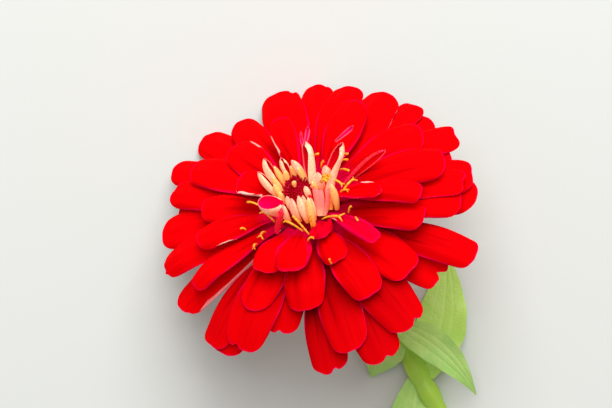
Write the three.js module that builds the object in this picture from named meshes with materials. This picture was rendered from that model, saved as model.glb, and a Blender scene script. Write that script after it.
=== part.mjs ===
// A picked double zinnia, lying on its side: cut stem, leaves, bract cup and a bloom of strap-shaped petals.
// Millimetres, +Z up. The stem lies along -Y and the bloom rests on its lowest petals at +Y.
import * as THREE from 'three';

// Driving dimensions
const BLOOM_TILT = 40;          // degrees from straight up to the way the bloom faces, towards +Y
const PETAL_THICKNESS = 0.45;
const PETAL_GAP = 0.35;         // clear height kept between a petal and those under it
const PETAL_CROWN = 2.2;        // rise of a long petal's middle above the line from seat to tip
const LONG_REACH = 45;          // the reach of a long petal, to which the crown is stated
const PETAL_ARCH = 0.5;         // fall of a petal's edges below its midrib
const SEAT_SPACING = 23;        // least angle between the seats of one row, in degrees
const SETTLING_ROUNDS = 4;
const LIFT_CARRIED = 0.55;      // share of a lift that the next stretch of the petal takes up
const STEM_RADIUS = 2.4;
const STEM_SWELL = 0.3;         // what the stem gains in radius under the bract cup
const STEM_END_Y = -118;        // cut end, measured from the middle of the bloom
const STEM_SHIFT = 5;           // sideways drift of the stem along the ground
const SHIFT_START = 16;         // the drift begins and ends at these distances back from the bloom
const SHIFT_END = 52;
const NECK_RADIUS = 46;         // bend of the stem as it lifts the bloom off the ground
const CONE_FOOT = -13;          // the cone's foot, measured up from the foot of the quills
const CUP_DEPTH = 19;           // from the foot of the quills down to the foot of the bract cup
const LEAF_THICKNESS = 0.6;
const LEAF_FOLD = 0.16;         // slope of each half of a leaf up from its midrib
const TOUCH = 0.3;              // gap between pieces that rest against each other
const TURNED_SIDES = 20;        // sides of the round pieces
const STEM_SIDES = 10;
const QUILL_SIDES = 6;

// Rows of petals from the lowest up. A petal is [azimuth, reach, rise, width]: the azimuth in degrees from
// the stem's side (-Y) towards +X, the tip's distance from the bloom's axis and its height above the foot of
// the quills, and the petal's greatest width. The seat is where the petal leaves the cone.
const PETAL_ROWS = [
  { name: 'outer_petal', seatRadius: 9, seatHeight: -10, petals: [
    [340, 45.5, -17, 11.3], [358.5, 48.5, -16, 12.5], [33.5, 41.5, -13, 12.5], [65.5, 45.5, -9, 12.8],
    [271, 44, -15, 12.6], [319, 35, -13, 11.5], [294, 44.5, -15, 12], [201, 47, -8.5, 10.5],
    [216.5, 47, -7, 9.5], [157, 45.5, -9, 10.5], [114, 42.5, -8, 11.5], [242, 44, -9, 11.5],
  ] },
  { name: 'second_petal', seatRadius: 8.7, seatHeight: -8, petals: [
    [306.5, 42.5, -13, 13], [350, 43.5, -13, 12], [11.5, 46, -13, 13], [42, 49, -10, 10],
    [71.5, 45, -6, 12], [90, 44, -6, 11], [127, 41.5, -6, 14], [171, 45, -7, 12.5],
    [142, 41, -6, 11.5], [189, 39.5, -4, 9.5], [227.5, 42.5, -7, 9.5], [257.5, 43.5, -11, 10],
  ] },
  { name: 'third_petal', seatRadius: 8.4, seatHeight: -6, petals: [
    [274, 37.5, -8, 7.2], [305.5, 33, -9, 10.8], [333.5, 31, -8, 11.5], [25, 37.5, -6, 11.5],
    [6, 35.5, -7, 10.6], [58.5, 42.5, -5, 10], [66, 43.5, -3, 10], [92, 36, 1, 12.5],
    [133, 34, -1, 10.5], [238, 30.5, -2, 9.5], [217.5, 38, -2, 10],
  ] },
  { name: 'inner_petal', seatRadius: 8.2, seatHeight: -4, petals: [
    [259, 31.5, -1, 8.6], [305.5, 24, -1, 10], [327, 23.5, 0, 10], [0.5, 23.5, -1, 8],
    [47, 35, -1, 9], [72, 39.5, 1, 11.5], [55.5, 34, 2, 7], [202, 29.5, 1, 10], [172, 27.5, 3, 6.8],
  ] },
  { name: 'small_petal', seatRadius: 8, seatHeight: -2, petals: [
    [49.5, 24.5, 7, 4.8], [24, 29, 3, 4.7], [359, 16.5, 2, 7], [227, 18.5, 5, 8.4],
  ] },
];

// Young petals still rolled into tubes: foot and tip as [across, towards the far side, up], and the radius.
const QUILLS = [
  { foot: [-5.9, 2.2, 0.2], tip: [-7.6, 10.1, 6.5], radius: 1.1 },
  { foot: [-3.5, 3.6, 0.6], tip: [-4.9, 11.7, 8], radius: 1.2 },
  { foot: [2.4, 0.4, 1.3], tip: [7, 7.6, 11], radius: 1.3 },
  { foot: [7.6, -5.2, 3.4], tip: [15.2, 1.6, 11.5], radius: 1.2 },
  { foot: [2.3, -7.6, 0.8], tip: [5.2, -5.8, 7.8], radius: 1.6 },
];

// Leaves: the side of the stem, the distance back from the bloom where each leaves it, its heading in degrees
// from +X towards +Y, length, width, the arch of its middle, its tip's height and its sideways bow in plan.
const LEAVES = {
  leaf_upper_right: { side: 1, back: 42, heading: -73, length: 29.5, width: 8, arch: 6, tip: 6, bow: 2 },
  leaf_upper_left: { side: -1, back: 42, heading: 235, length: 13, width: 8, arch: 2, tip: 0.4, bow: 1 },
  leaf_lower_right: { side: 1, back: 57, heading: 54, length: 33, width: 14, arch: 1, tip: 0.4, bow: -2 },
  leaf_lower_left: { side: -1, back: 63, heading: 218, length: 38, width: 14, arch: 2.5, tip: 0.4, bow: 3 },
};

// Half-widths along a blade, as shares of the greatest. A petal has a narrow claw, a broad blade and a round
// tip, and a leaf a rounded foot and a drawn-out tip.
const PETAL_BLADE = [[0, 0.26], [0.2, 0.42], [0.42, 0.73], [0.62, 0.95], [0.78, 1], [0.91, 0.82], [1, 0.4]];
const LEAF_BLADE = [[0, 0.16], [0.1, 0.6], [0.24, 0.93], [0.4, 1], [0.57, 0.84], [0.74, 0.54], [0.89, 0.24],
  [1, 0.06]];
const BLADE_COLUMNS = [-1, -0.5, 0, 0.5, 1];

// A quill's radius along its length, as a share of the greatest.
const QUILL_BLADE = [[0, 0.55], [0.35, 0.8], [0.7, 1], [1, 0.6]];

const rad = THREE.MathUtils.degToRad;
const lerp = THREE.MathUtils.lerp;

const finish = {
  petal: { color: 0xd40008, roughness: 0.55 },
  quill: { color: 0xf2dcb4, roughness: 0.5 },
  disc: { color: 0x5a0420, roughness: 0.7 },
  bract: { color: 0x5d7d2c, roughness: 0.65 },
  leaf: { color: 0x6f9a4c, roughness: 0.6 },
  stem: { color: 0x76a32a, roughness: 0.5 },
};

function piece(name, geometry, look) {
  const material = new THREE.MeshStandardMaterial({ metalness: 0, side: THREE.FrontSide, ...look });
  const mesh = new THREE.Mesh(geometry, material);
  mesh.name = name;
  return mesh;
}

function numbered(name, i) {
  return `${name}_${String(i + 1).padStart(2, '0')}`;
}

// A closed sheet: the grid of [x, y, z] points is its middle, and its two faces lie half the thickness away.
function sheetGeometry(grid, thickness) {
  const rows = grid.length;
  const columns = grid[0].length;
  const at = (i, j) => new THREE.Vector3(...grid[i][j]);
  const points = [];
  for (const sign of [1, -1]) {
    for (let i = 0; i < rows; i++) {
      for (let j = 0; j < columns; j++) {
        const along = at(Math.min(i + 1, rows - 1), j).sub(at(Math.max(i - 1, 0), j));
        const across = at(i, Math.min(j + 1, columns - 1)).sub(at(i, Math.max(j - 1, 0)));
        const normal = along.cross(across).normalize();
        points.push(at(i, j).addScaledVector(normal, sign * thickness / 2));
      }
    }
  }
  const top = (i, j) => i * columns + j;
  const under = (i, j) => rows * columns + top(i, j);
  const faces = [];
  const quad = (a, b, c, d) => faces.push(a, b, c, a, c, d);
  for (let i = 0; i < rows - 1; i++) {
    for (let j = 0; j < columns - 1; j++) {
      quad(top(i, j), top(i + 1, j), top(i + 1, j + 1), top(i, j + 1));
      quad(under(i, j), under(i, j + 1), under(i + 1, j + 1), under(i + 1, j));
    }
    const right = columns - 1;
    quad(top(i, 0), under(i, 0), under(i + 1, 0), top(i + 1, 0));
    quad(top(i, right), top(i + 1, right), under(i + 1, right), under(i, right));
  }
  for (let j = 0; j < columns - 1; j++) {
    const last = rows - 1;
    quad(top(0, j), top(0, j + 1), under(0, j + 1), under(0, j));
    quad(top(last, j), under(last, j), under(last, j + 1), top(last, j + 1));
  }
  return closedGeometry(points, faces);
}

function closedGeometry(points, faces) {
  const geometry = new THREE.BufferGeometry();
  geometry.setAttribute('position', new THREE.Float32BufferAttribute(points.flatMap((p) => p.toArray()), 3));
  geometry.setIndex(faces);
  geometry.computeVertexNormals();
  return geometry;
}

// A closed round rod along a list of points, with a radius at each.
function rodGeometry(path, radii, sides) {
  const rings = path.map((point, i) => {
    const ahead = path[Math.min(i + 1, path.length - 1)];
    const behind = path[Math.max(i - 1, 0)];
    const along = ahead.clone().sub(behind).normalize();
    const right = new THREE.Vector3(1, 0, 0).addScaledVector(along, -along.x).normalize();
    const up = along.clone().cross(right);
    return Array.from({ length: sides }, (_, k) => {
      const turn = 2 * Math.PI * k / sides;
      return point.clone()
        .addScaledVector(right, radii[i] * Math.cos(turn))
        .addScaledVector(up, radii[i] * Math.sin(turn));
    });
  });
  const points = [...rings.flat(), path[0], path[path.length - 1]];
  const start = points.length - 2;
  const faces = [];
  for (let k = 0; k < sides; k++) {
    const next = (k + 1) % sides;
    for (let i = 0; i < path.length - 1; i++) {
      const a = i * sides;
      const b = a + sides;
      faces.push(a + k, a + next, b + next, a + k, b + next, b + k);
    }
    const last = (path.length - 1) * sides;
    faces.push(start, next, k, start + 1, last + k, last + next);
  }
  return closedGeometry(points, faces);
}

// The heights reached so far by the petals already laid, on a square grid seen along the bloom's axis.
class PetalPile {
  constructor(halfSize = 56, cell = 0.5) {
    this.cell = cell;
    this.half = halfSize;
    this.count = Math.ceil(2 * halfSize / cell);
    this.heights = new Float64Array(this.count ** 2).fill(-Infinity);
  }

  index(x, y) {
    return Math.floor((y + this.half) / this.cell) * this.count + Math.floor((x + this.half) / this.cell);
  }

  highestNear(x, y) {
    let highest = -Infinity;
    for (const dx of [-this.cell, 0, this.cell]) {
      for (const dy of [-this.cell, 0, this.cell]) {
        highest = Math.max(highest, this.heights[this.index(x + dx, y + dy)]);
      }
    }
    return highest;
  }

  add(x, y, height) {
    const i = this.index(x, y);
    this.heights[i] = Math.max(this.heights[i], height);
  }
}

function petalGrid(petal) {
  const foot = onHead(petal.seatAzimuth, petal.seatRadius);
  const tip = onHead(petal.azimuth, petal.reach);
  const run = [tip[0] - foot[0], tip[1] - foot[1]];
  const length = Math.hypot(...run);
  const across = [-run[1] / length, run[0] / length];
  return PETAL_BLADE.map(([u, share], i) => BLADE_COLUMNS.map((v) => {
    const side = v * share * petal.width / 2;
    const lift = petal.crown * 4 * u * (1 - u) - PETAL_ARCH * v * v * share * share * Math.min(1, 2 * u);
    const height = lerp(petal.seatHeight, petal.rise, u) + lift + petal.lifts[i];
    return [foot[0] + run[0] * u + across[0] * side, foot[1] + run[1] * u + across[1] * side, height];
  }));
}

function onHead(azimuth, radius) {
  return [radius * Math.sin(rad(azimuth)), -radius * Math.cos(rad(azimuth))];
}

// Walks a petal's facets closely enough to meet every cell of the pile.
function eachPoint(grid, visit) {
  const fine = 10;              // steps along each facet
  for (let i = 0; i < grid.length - 1; i++) {
    for (let j = 0; j < grid[0].length - 1; j++) {
      for (let a = 0; a <= fine; a++) {
        for (let b = 0; b <= fine; b++) {
          const s = a / fine;
          const t = b / fine;
          const point = [0, 1, 2].map((k) => lerp(
            lerp(grid[i][j][k], grid[i][j + 1][k], t), lerp(grid[i + 1][j][k], grid[i + 1][j + 1][k], t), s));
          visit(point, i);
        }
      }
    }
  }
}

// Raises a petal along its length, no more than it must, until it clears everything laid before it. Its
// faces lean, so upright they reach a little over half its thickness from its middle.
function settle(petal, pile) {
  const half = 0.6 * PETAL_THICKNESS;
  for (let round = 0; round < SETTLING_ROUNDS; round++) {
    const needs = petal.lifts.map(() => 0);
    eachPoint(petalGrid(petal), ([x, y, z], i) => {
      const need = pile.highestNear(x, y) + PETAL_GAP + half - z;
      needs[i] = Math.max(needs[i], need);
      needs[i + 1] = Math.max(needs[i + 1], need);
    });
    petal.lifts = petal.lifts.map((lift, i) => lift + needs[i]);
    ease(petal.lifts);
  }
  const grid = petalGrid(petal);
  eachPoint(grid, ([x, y, z]) => pile.add(x, y, z + half));
  return grid;
}

// Carries part of each lift on to its neighbours, so that the blade bends instead of kinking.
function ease(lifts) {
  for (let i = 1; i < lifts.length; i++) lifts[i] = Math.max(lifts[i], LIFT_CARRIED * lifts[i - 1]);
  for (let i = lifts.length - 2; i >= 0; i--) lifts[i] = Math.max(lifts[i], LIFT_CARRIED * lifts[i + 1]);
}

// Pushes the seats of a row apart until no two claws share a place on the cone.
function seatAzimuths(petals) {
  const rounds = 40;
  const order = petals.map((petal, i) => ({ i, azimuth: petal[0] })).sort((a, b) => a.azimuth - b.azimuth);
  for (let round = 0; round < rounds; round++) {
    order.forEach((seat, k) => {
      const next = order[(k + 1) % order.length];
      const apart = (next.azimuth - seat.azimuth + 720) % 360;
      const push = Math.max(0, SEAT_SPACING - apart) / 2;
      seat.azimuth -= push;
      next.azimuth += push;
    });
  }
  const seats = [];
  for (const seat of order) seats[seat.i] = seat.azimuth;
  return seats;
}

function layPetals() {
  const pile = new PetalPile();
  const laid = [];
  for (const row of PETAL_ROWS) {
    const seats = seatAzimuths(row.petals);
    row.petals.forEach(([azimuth, reach, rise, width], i) => {
      const petal = { name: numbered(row.name, i), azimuth, reach, rise, width, seatAzimuth: seats[i] };
      Object.assign(petal, { seatRadius: row.seatRadius, seatHeight: row.seatHeight });
      petal.crown = PETAL_CROWN * reach / LONG_REACH;
      petal.lifts = PETAL_BLADE.map(() => 0);
      petal.grid = settle(petal, pile);
      laid.push(petal);
    });
  }
  return laid;
}

function quillPieces() {
  return QUILLS.map(({ foot, tip, radius }, i) => {
    const from = new THREE.Vector3(...foot);
    const to = new THREE.Vector3(...tip);
    const path = QUILL_BLADE.map(([u]) => from.clone().lerp(to, u));
    const radii = QUILL_BLADE.map(([, share]) => share * radius);
    return piece(numbered('quill', i), rodGeometry(path, radii, QUILL_SIDES), finish.quill);
  });
}

// A round solid about the bloom's axis, from its outline as [radius, height] points.
function turned(outline) {
  const profile = outline.map(([radius, height]) => new THREE.Vector2(radius, height));
  return new THREE.LatheGeometry(profile, TURNED_SIDES).rotateX(Math.PI / 2);
}

// The cone that carries the petals, with the disc on its top.
function receptacle() {
  const outline = [[0, CONE_FOOT], [7.6, CONE_FOOT], [7.9, -10], [7.3, -5], [6.6, -1], [4, -0.2], [2, 0.4],
    [0, 0.8]];
  return piece('receptacle', turned(outline), finish.disc);
}

// The cup of bracts, hollowed to hold the cone's foot.
function involucre() {
  const floor = CONE_FOOT - TOUCH;
  const outline = [[0, -CUP_DEPTH], [STEM_RADIUS + STEM_SWELL, -CUP_DEPTH], [7, -17.4], [9.8, -15],
    [10.8, -12], [10.6, -10.8], [9.6, -10.8], [8.6, -12.2], [8.2, floor], [0, floor]];
  return piece('involucre', turned(outline), finish.bract);
}

// The stem's middle line, from under the cup, round the neck and along the ground to the cut end.
function stemPath(bloomHeight) {
  const tilt = rad(BLOOM_TILT);
  const axis = new THREE.Vector3(0, Math.sin(tilt), Math.cos(tilt));
  const top = new THREE.Vector3(0, 0, bloomHeight).addScaledVector(axis, -(CUP_DEPTH + TOUCH));
  const lean = Math.PI / 2 - tilt;
  const drop = top.z - STEM_RADIUS;
  const radius = Math.min(NECK_RADIUS, drop / (1 - Math.cos(lean)));
  const straight = (drop - radius * (1 - Math.cos(lean))) / Math.sin(lean);
  const path = [];
  const walk = (y, z) => path.push(new THREE.Vector3(0, y, z));
  const neck = top.clone().addScaledVector(axis, -straight);
  if (straight > 1) walk(top.y, top.z);
  const bends = 12;
  for (let i = 0; i <= bends; i++) {
    const left = lean * (1 - i / bends);
    walk(neck.y - radius * (Math.sin(lean) - Math.sin(left)), STEM_RADIUS + radius * (1 - Math.cos(left)));
  }
  const flat = path[path.length - 1].y;
  const steps = 8;
  for (let i = 1; i <= steps; i++) walk(lerp(flat, STEM_END_Y, i / steps), STEM_RADIUS);
  for (const point of path) {
    point.x = STEM_SHIFT * THREE.MathUtils.smoothstep(-point.y, SHIFT_START, SHIFT_END);
  }
  return path;
}

function stem(path) {
  const swollen = 3;
  const radii = path.map((_, i) => STEM_RADIUS + STEM_SWELL * Math.max(0, 1 - i / swollen));
  return piece('stem', rodGeometry(path, radii, STEM_SIDES), finish.stem);
}

function leaf(name, spec, path) {
  const node = pointBack(path, spec.back);
  const heading = rad(spec.heading);
  const [aheadX, aheadY] = [Math.cos(heading), Math.sin(heading)];
  const startX = node.x + spec.side * (STEM_RADIUS + 4 * TOUCH);
  const startHeight = node.z + LEAF_THICKNESS;
  const grid = LEAF_BLADE.map(([u, share]) => BLADE_COLUMNS.map((v) => {
    const along = spec.length * u;
    const side = v * share * spec.width / 2;
    const aside = side + spec.bow * 4 * u * (1 - u);
    const level = lerp(startHeight, spec.tip, THREE.MathUtils.smoothstep(u, 0, 0.9));
    const height = level + spec.arch * Math.sin(Math.PI * u) + LEAF_FOLD * Math.abs(side);
    return [startX + aheadX * along - aheadY * aside, node.y + aheadY * along + aheadX * aside, height];
  }));
  return piece(name, sheetGeometry(grid, LEAF_THICKNESS), finish.leaf);
}

function pointBack(path, back) {
  const i = path.findIndex((point) => point.y <= -back);
  const share = (path[i - 1].y + back) / (path[i - 1].y - path[i].y);
  return path[i - 1].clone().lerp(path[i], share);
}

function bloom(petals) {
  const head = new THREE.Group();
  head.rotation.x = -rad(BLOOM_TILT);
  head.add(receptacle(), involucre(), ...quillPieces());
  for (const petal of petals) {
    head.add(piece(petal.name, sheetGeometry(petal.grid, PETAL_THICKNESS), finish.petal));
  }
  return head;
}

function zinnia() {
  const flower = new THREE.Group();
  const head = bloom(layPetals());
  head.updateMatrixWorld(true);
  head.position.z = -new THREE.Box3().setFromObject(head, true).min.z;
  const path = stemPath(head.position.z);
  const leaves = Object.entries(LEAVES).map(([name, spec]) => leaf(name, spec, path));
  flower.add(head, stem(path), ...leaves);
  flower.updateMatrixWorld(true);
  const box = new THREE.Box3().setFromObject(flower, true);
  const middle = box.getCenter(new THREE.Vector3());
  flower.position.set(-middle.x, -middle.y, -box.min.z);
  return flower;
}

const root = new THREE.Group();
root.add(zinnia());
export default root;
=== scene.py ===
"""A picked double zinnia lying on its side: the finished surface of every piece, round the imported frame."""
import copy
import math
from functools import partial
from types import SimpleNamespace

import bpy
import numpy as np
from mathutils import Matrix, Vector


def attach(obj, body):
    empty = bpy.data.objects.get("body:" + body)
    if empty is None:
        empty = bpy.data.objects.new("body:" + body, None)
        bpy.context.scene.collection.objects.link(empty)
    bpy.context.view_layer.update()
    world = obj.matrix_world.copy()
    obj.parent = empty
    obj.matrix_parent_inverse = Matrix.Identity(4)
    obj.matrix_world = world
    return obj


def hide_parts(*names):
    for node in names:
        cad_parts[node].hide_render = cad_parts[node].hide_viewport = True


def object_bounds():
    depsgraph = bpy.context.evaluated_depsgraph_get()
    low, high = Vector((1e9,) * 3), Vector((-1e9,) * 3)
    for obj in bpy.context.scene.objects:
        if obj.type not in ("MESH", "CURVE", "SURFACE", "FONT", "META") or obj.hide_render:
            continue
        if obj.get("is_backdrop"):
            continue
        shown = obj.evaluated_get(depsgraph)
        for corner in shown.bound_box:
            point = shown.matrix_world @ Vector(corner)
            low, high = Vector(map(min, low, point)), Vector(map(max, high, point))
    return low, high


bl_info = {
    "name": "Zinnia",
    "version": (1, 0, 0),
    "blender": (4, 5, 0),
    "location": "View3D > Sidebar > Zinnia",
    "description": "Builds a picked double zinnia round its frame",
    "category": "Add Mesh",
}

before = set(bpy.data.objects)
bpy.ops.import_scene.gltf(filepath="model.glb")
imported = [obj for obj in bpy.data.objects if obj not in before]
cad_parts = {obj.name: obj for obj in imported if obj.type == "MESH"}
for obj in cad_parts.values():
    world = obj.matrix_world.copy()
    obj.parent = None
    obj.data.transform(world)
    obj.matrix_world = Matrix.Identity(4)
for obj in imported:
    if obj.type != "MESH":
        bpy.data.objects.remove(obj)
CAD_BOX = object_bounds()

MM = 0.001
BODY = "root"
CONE_TOP = 0.8              # the cone's top over the foot of the quills, in millimetres
GOLDEN_ANGLE = math.pi * (3 - math.sqrt(5))
QUARTER = math.pi / 2
BLADE_MAP = "BladeMap"      # a UV map of millimetres across and along a blade, over MAP_SPAN
MAP_SPAN = 100.0


# --- settings

def number(label, value, about, **more):
    return bpy.props.FloatProperty(name=label, description=about, default=value, **more)


def length(label, millimetres, about):
    return number(label, millimetres * MM, about, unit="LENGTH", precision=5)


def turn(label, degrees, about):
    return number(label, math.radians(degrees), about, subtype="ANGLE")


def count(label, value, about):
    return bpy.props.IntProperty(name=label, description=about, default=value, min=1)


def colour(label, value, about):
    return bpy.props.FloatVectorProperty(
        name=label, description=about, default=value, size=3, min=0.0, max=1.0, subtype="COLOR")


class ZinniaPetalSettings(bpy.types.PropertyGroup):
    thickness: length("Thickness", 0.24, "Thickness of a petal away from its edge")
    gap: length("Gap", 0.16, "Clear height between a petal and those under it")
    arch: length("Arch", 0.9, "Fall of a petal's edges below its midrib")
    groove: length("Groove", 0.19, "Depth of the grooves along a petal")
    tip_fall: length("Tip fall", 0.9, "How far a petal's end bends down")
    red: colour("Red", (0.8, 0.0, 0.0015), "Upper face")
    # deep red also carries the painted shade of the hanging petals, through their tone
    deep_red: colour("Deep red", (0.46, 0.0, 0.002), "Veins and streaks of the upper face")
    # painted shade: the upper face darkened near the foot, where the petals above overlap it and cast shade,
    # and along the petals that hang away from the light
    shade: colour("Shade", (0.24, 0.0, 0.001), "Upper face near the foot")
    rose: colour("Rose", (0.82, 0.0, 0.1), "Rims, and a tinge at the foot")
    underside: colour("Underside", (0.94, 0.62, 0.5), "Lower face")
    underside_vein: colour("Underside veins", (0.76, 0.12, 0.15), "Veins of the lower face")


class ZinniaHeartSettings(bpy.types.PropertyGroup):
    thickness: length("Thickness", 0.26, "Thickness of a quill's wall")
    floret_count: count("Florets", 90, "Disc florets on the dome")
    floret_spacing: length("Floret spacing", 0.4, "Distance that sets how fast the florets spiral out")
    dome_radius: length("Dome radius", 7.5, "Radius of the dome's curve")
    cream: colour("Cream", (1.0, 0.74, 0.44), "Outside of a quill")
    blush: colour("Blush", (0.98, 0.24, 0.2), "Streaks and tips of a quill")
    gold: colour("Gold", (1.0, 0.58, 0.13), "Outside of the shorter quills")
    foot: colour("Foot", (0.95, 0.4, 0.03), "Foot of a quill")
    inside: colour("Inside", (0.62, 0.0, 0.006), "Inside of a quill")
    lip: colour("Lip", (0.95, 0.12, 0.2), "Specks of a quill, and its edges seen from inside")
    # painted glow: an emission colour that stands in for light showing through the thin walls, the same under
    # any lamp
    glow: colour("Glow", (1.0, 0.22, 0.05), "Light that shows through the thin walls")
    magenta: colour("Magenta", (0.85, 0.0, 0.1), "Drawn-out ends of the quills, and the small cup")
    maroon: colour("Maroon", (0.4, 0.0, 0.002), "Disc florets")
    purple: colour("Purple", (0.5, 0.0, 0.03), "Rims of the disc florets")
    yellow: colour("Yellow", (1.0, 0.5, 0.01), "Stigmas")
    orange: colour("Orange", (0.9, 0.2, 0.0), "Feet of the stigmas")


class ZinniaGreenSettings(bpy.types.PropertyGroup):
    bract_rings: count("Bract rings", 5, "Rings of bracts on the cup")
    bracts_per_ring: count("Bracts per ring", 13, "Bracts in each ring")
    hair_density: number("Hair density", 420000.0, "Hairs on each square metre of stem", min=0.0)
    hair_length: length("Hair length", 0.75, "Length of a stem hair")
    rib_depth: length("Rib depth", 0.09, "Depth of the furrows along the stem")
    stem_green: colour("Stem green", (0.36, 0.59, 0.03), "Stem")
    stem_pale: colour("Pale stem", (0.53, 0.68, 0.12), "Ribs and pith of the stem")
    leaf_green: colour("Leaf green", (0.36, 0.62, 0.14), "Upper face of a leaf")
    leaf_young: colour("Young leaf", (0.43, 0.66, 0.1), "Upper face of the palest leaf")
    leaf_pale: colour("Pale leaf", (0.56, 0.74, 0.22), "Veins and lower face of a leaf")
    bract_green: colour("Bract green", (0.14, 0.28, 0.04), "Bracts")
    bract_rim: colour("Bract rim", (0.03, 0.012, 0.01), "Dark rims of the bracts")


class ZinniaStageSettings(bpy.types.PropertyGroup):
    view_width: length("View width", 163.6, "Width that the camera sees at the bloom")
    distance: length("Distance", 1000, "From the camera to the bloom")
    roll: turn("Camera roll", -28, "Turn of the camera about its own axis")
    floor: colour("Floor", (0.66, 0.67, 0.64), "Floor under the flower")
    key_power: number("Key power", 9.0, "Main soft light, in watts", unit="POWER")
    top_power: number("Top power", 8.0, "The other soft light, in watts", unit="POWER")
    key_height: turn("Key height", 36, "Height of the main light over the ground, seen from the bloom")
    key_heading: turn("Key heading", 56, "Where the main light stands, from +X towards +Y")
    top_height: turn("Top height", 70, "Height of the other light over the ground, seen from the bloom")
    top_heading: turn("Top heading", 75, "Where the other light stands, from +X towards +Y")
    sky: number("Sky", 0.45, "Strength of the even light all round", min=0.0)


# --- the frame, read on the bloom's own axes

def read(items, name, kind, width=1):
    """One value of every vertex or corner of a mesh."""
    flat = np.empty(len(items) * width, kind)
    items.foreach_get(name, flat)
    return flat


def raw_vertices(node):
    """A node's vertices as its triangles use them, in millimetres."""
    flat = read(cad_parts[node].data.vertices, "co", np.float32, 3)
    return (flat.reshape(-1, 3).astype(float) / MM).round(3)


def vertices_of(node):
    """A node's separate vertices, in millimetres."""
    return np.unique(raw_vertices(node), axis=0)


class BloomAxes:
    """x across, y to the far side and z the way the bloom faces, from the foot of the quills. All in
    millimetres."""

    def __init__(self):
        cone, cup = vertices_of("receptacle"), vertices_of("involucre")
        facing = cone.mean(0) - cup.mean(0)
        facing[0] = 0.0
        facing /= np.linalg.norm(facing)
        across = np.array((1.0, 0.0, 0.0))
        self.rows = np.array((across, np.cross(facing, across), facing))
        top = ((cone - cone.mean(0)) @ facing).max()
        self.origin = cone.mean(0) + facing * (top - CONE_TOP)

    def local(self, points):
        return (points - self.origin) @ self.rows.T

    def world(self, points):
        return np.asarray(points, float) @ self.rows + self.origin

    def move(self, piece, offset=(0.0, 0.0, 0.0)):
        """Moves a mesh that was made on these axes to its place."""
        turned = Matrix([tuple(row) for row in self.rows.T]).to_4x4()
        place = Matrix.Translation(Vector(self.origin * MM)) @ turned
        piece.data.transform(place @ Matrix.Translation(Vector(offset) * MM))
        return piece


bloom = BloomAxes()


# --- curves and numbers

def ease(x):
    x = np.clip(x, 0, 1)
    return x * x * (3 - 2 * x)


def curve(stations, x):
    """A smooth curve through (x, y) stations."""
    xs, ys = np.array(stations, float).T
    slopes = np.gradient(ys, xs)
    i = np.clip(np.searchsorted(xs, x) - 1, 0, len(xs) - 2)
    step = xs[i + 1] - xs[i]
    t = (x - xs[i]) / step
    blend = t * t * (3 - 2 * t)
    bend = t * (1 - t)
    return ys[i] * (1 - blend) + ys[i + 1] * blend + step * bend * ((1 - t) * slopes[i] - t * slopes[i + 1])


def unit(vector):
    return np.asarray(vector, float) / np.linalg.norm(vector)


def round_angles(sides):
    return np.arange(sides) * 2 * math.pi / sides


# --- node writing

def both_ways(operation):
    """The plain and the reflected method of an operator, which add a Math node."""
    def plain(self, other):
        return self.writer.math(operation, self, other)

    def reflected(self, other):
        return self.writer.math(operation, other, self)
    return plain, reflected


class Term:
    """A node's output. A sum in Python adds its Math nodes."""
    __add__, __radd__ = both_ways("ADD")
    __sub__, __rsub__ = both_ways("SUBTRACT")
    __mul__, __rmul__ = both_ways("MULTIPLY")
    __truediv__, __rtruediv__ = both_ways("DIVIDE")

    def __init__(self, writer, socket):
        self.writer, self.socket = writer, socket


class Writer:
    """Writes the nodes of a tree."""

    def node(self, kind, settings=None, inputs=None, output=0):
        """Adds a node: its settings first, then the values or links of its sockets."""
        made = self.tree.nodes.new(kind)
        for key, value in (settings or {}).items():
            setattr(made, key, value)
        for key, value in (inputs or {}).items():
            self.feed(made.inputs[key], value)
        return Term(self, made.outputs[output])

    def feed(self, socket, value):
        if isinstance(value, Term):
            self.tree.links.new(value.socket, socket)
        else:
            socket.default_value = (*value, 1.0) if socket.type == "RGBA" else value

    def math(self, operation, first, second=0.0):
        return self.node("ShaderNodeMath", {"operation": operation}, {0: first, 1: second})


class Shader(Writer):
    """A material."""

    def __init__(self, name):
        self.material = bpy.data.materials.new(name)
        self.material.use_nodes = True
        self.tree = self.material.node_tree
        self.tree.nodes.clear()
        self.surface = self.tree.nodes.new("ShaderNodeBsdfPrincipled")
        output = self.tree.nodes.new("ShaderNodeOutputMaterial")
        self.tree.links.new(self.surface.outputs[0], output.inputs["Surface"])

    def set(self, **values):
        for key, value in values.items():
            self.feed(self.surface.inputs[key.replace("_", " ")], value)

    def attributes(self, *names):
        return [self.node("ShaderNodeAttribute", {"attribute_name": name}, output="Fac") for name in names]

    def ramp(self, value, low, high):
        """0 below low, 1 above high, smooth between."""
        return self.node("ShaderNodeMapRange", {"interpolation_type": "SMOOTHSTEP"},
                         {"Value": value, "From Min": low, "From Max": high})

    def paint(self, base, *coats):
        """Colours painted over a base, each as far as its mask goes."""
        for mask, tint in coats:
            base = self.node("ShaderNodeMix", {"data_type": "RGBA"}, {"Factor": mask, 6: base, 7: tint}, 2)
        return base

    def noise(self, vector, scale, detail):
        return self.node("ShaderNodeTexNoise", {}, {"Vector": vector, "Scale": scale, "Detail": detail})

    def grain(self, scale, detail):
        """Noise in space."""
        return self.noise(self.node("ShaderNodeTexCoord", output="Object"), scale, detail)

    def fibres(self, across, along, detail):
        """Noise on the blade's own map, this fine across and along."""
        flat = self.node("ShaderNodeUVMap", {"uv_map": BLADE_MAP})
        stretched = self.node("ShaderNodeMapping", {}, {"Vector": flat, "Scale": (across, along, 1.0)})
        return self.noise(stretched, 1.0, detail)

    def finish(self, tint, grain, rough, relief, gloss=0.5, raised=None):
        """The material, with a roughness of (least, spread) that follows the grain, and a relief of
        (strength, millimetres) that follows it or what is raised."""
        height = {"Height": raised or grain, "Strength": relief[0], "Distance": relief[1] * MM}
        self.set(Base_Color=tint, Roughness=grain * rough[1] + rough[0], Specular_IOR_Level=gloss,
                 Normal=self.node("ShaderNodeBump", {}, height))
        return self.material


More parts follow.
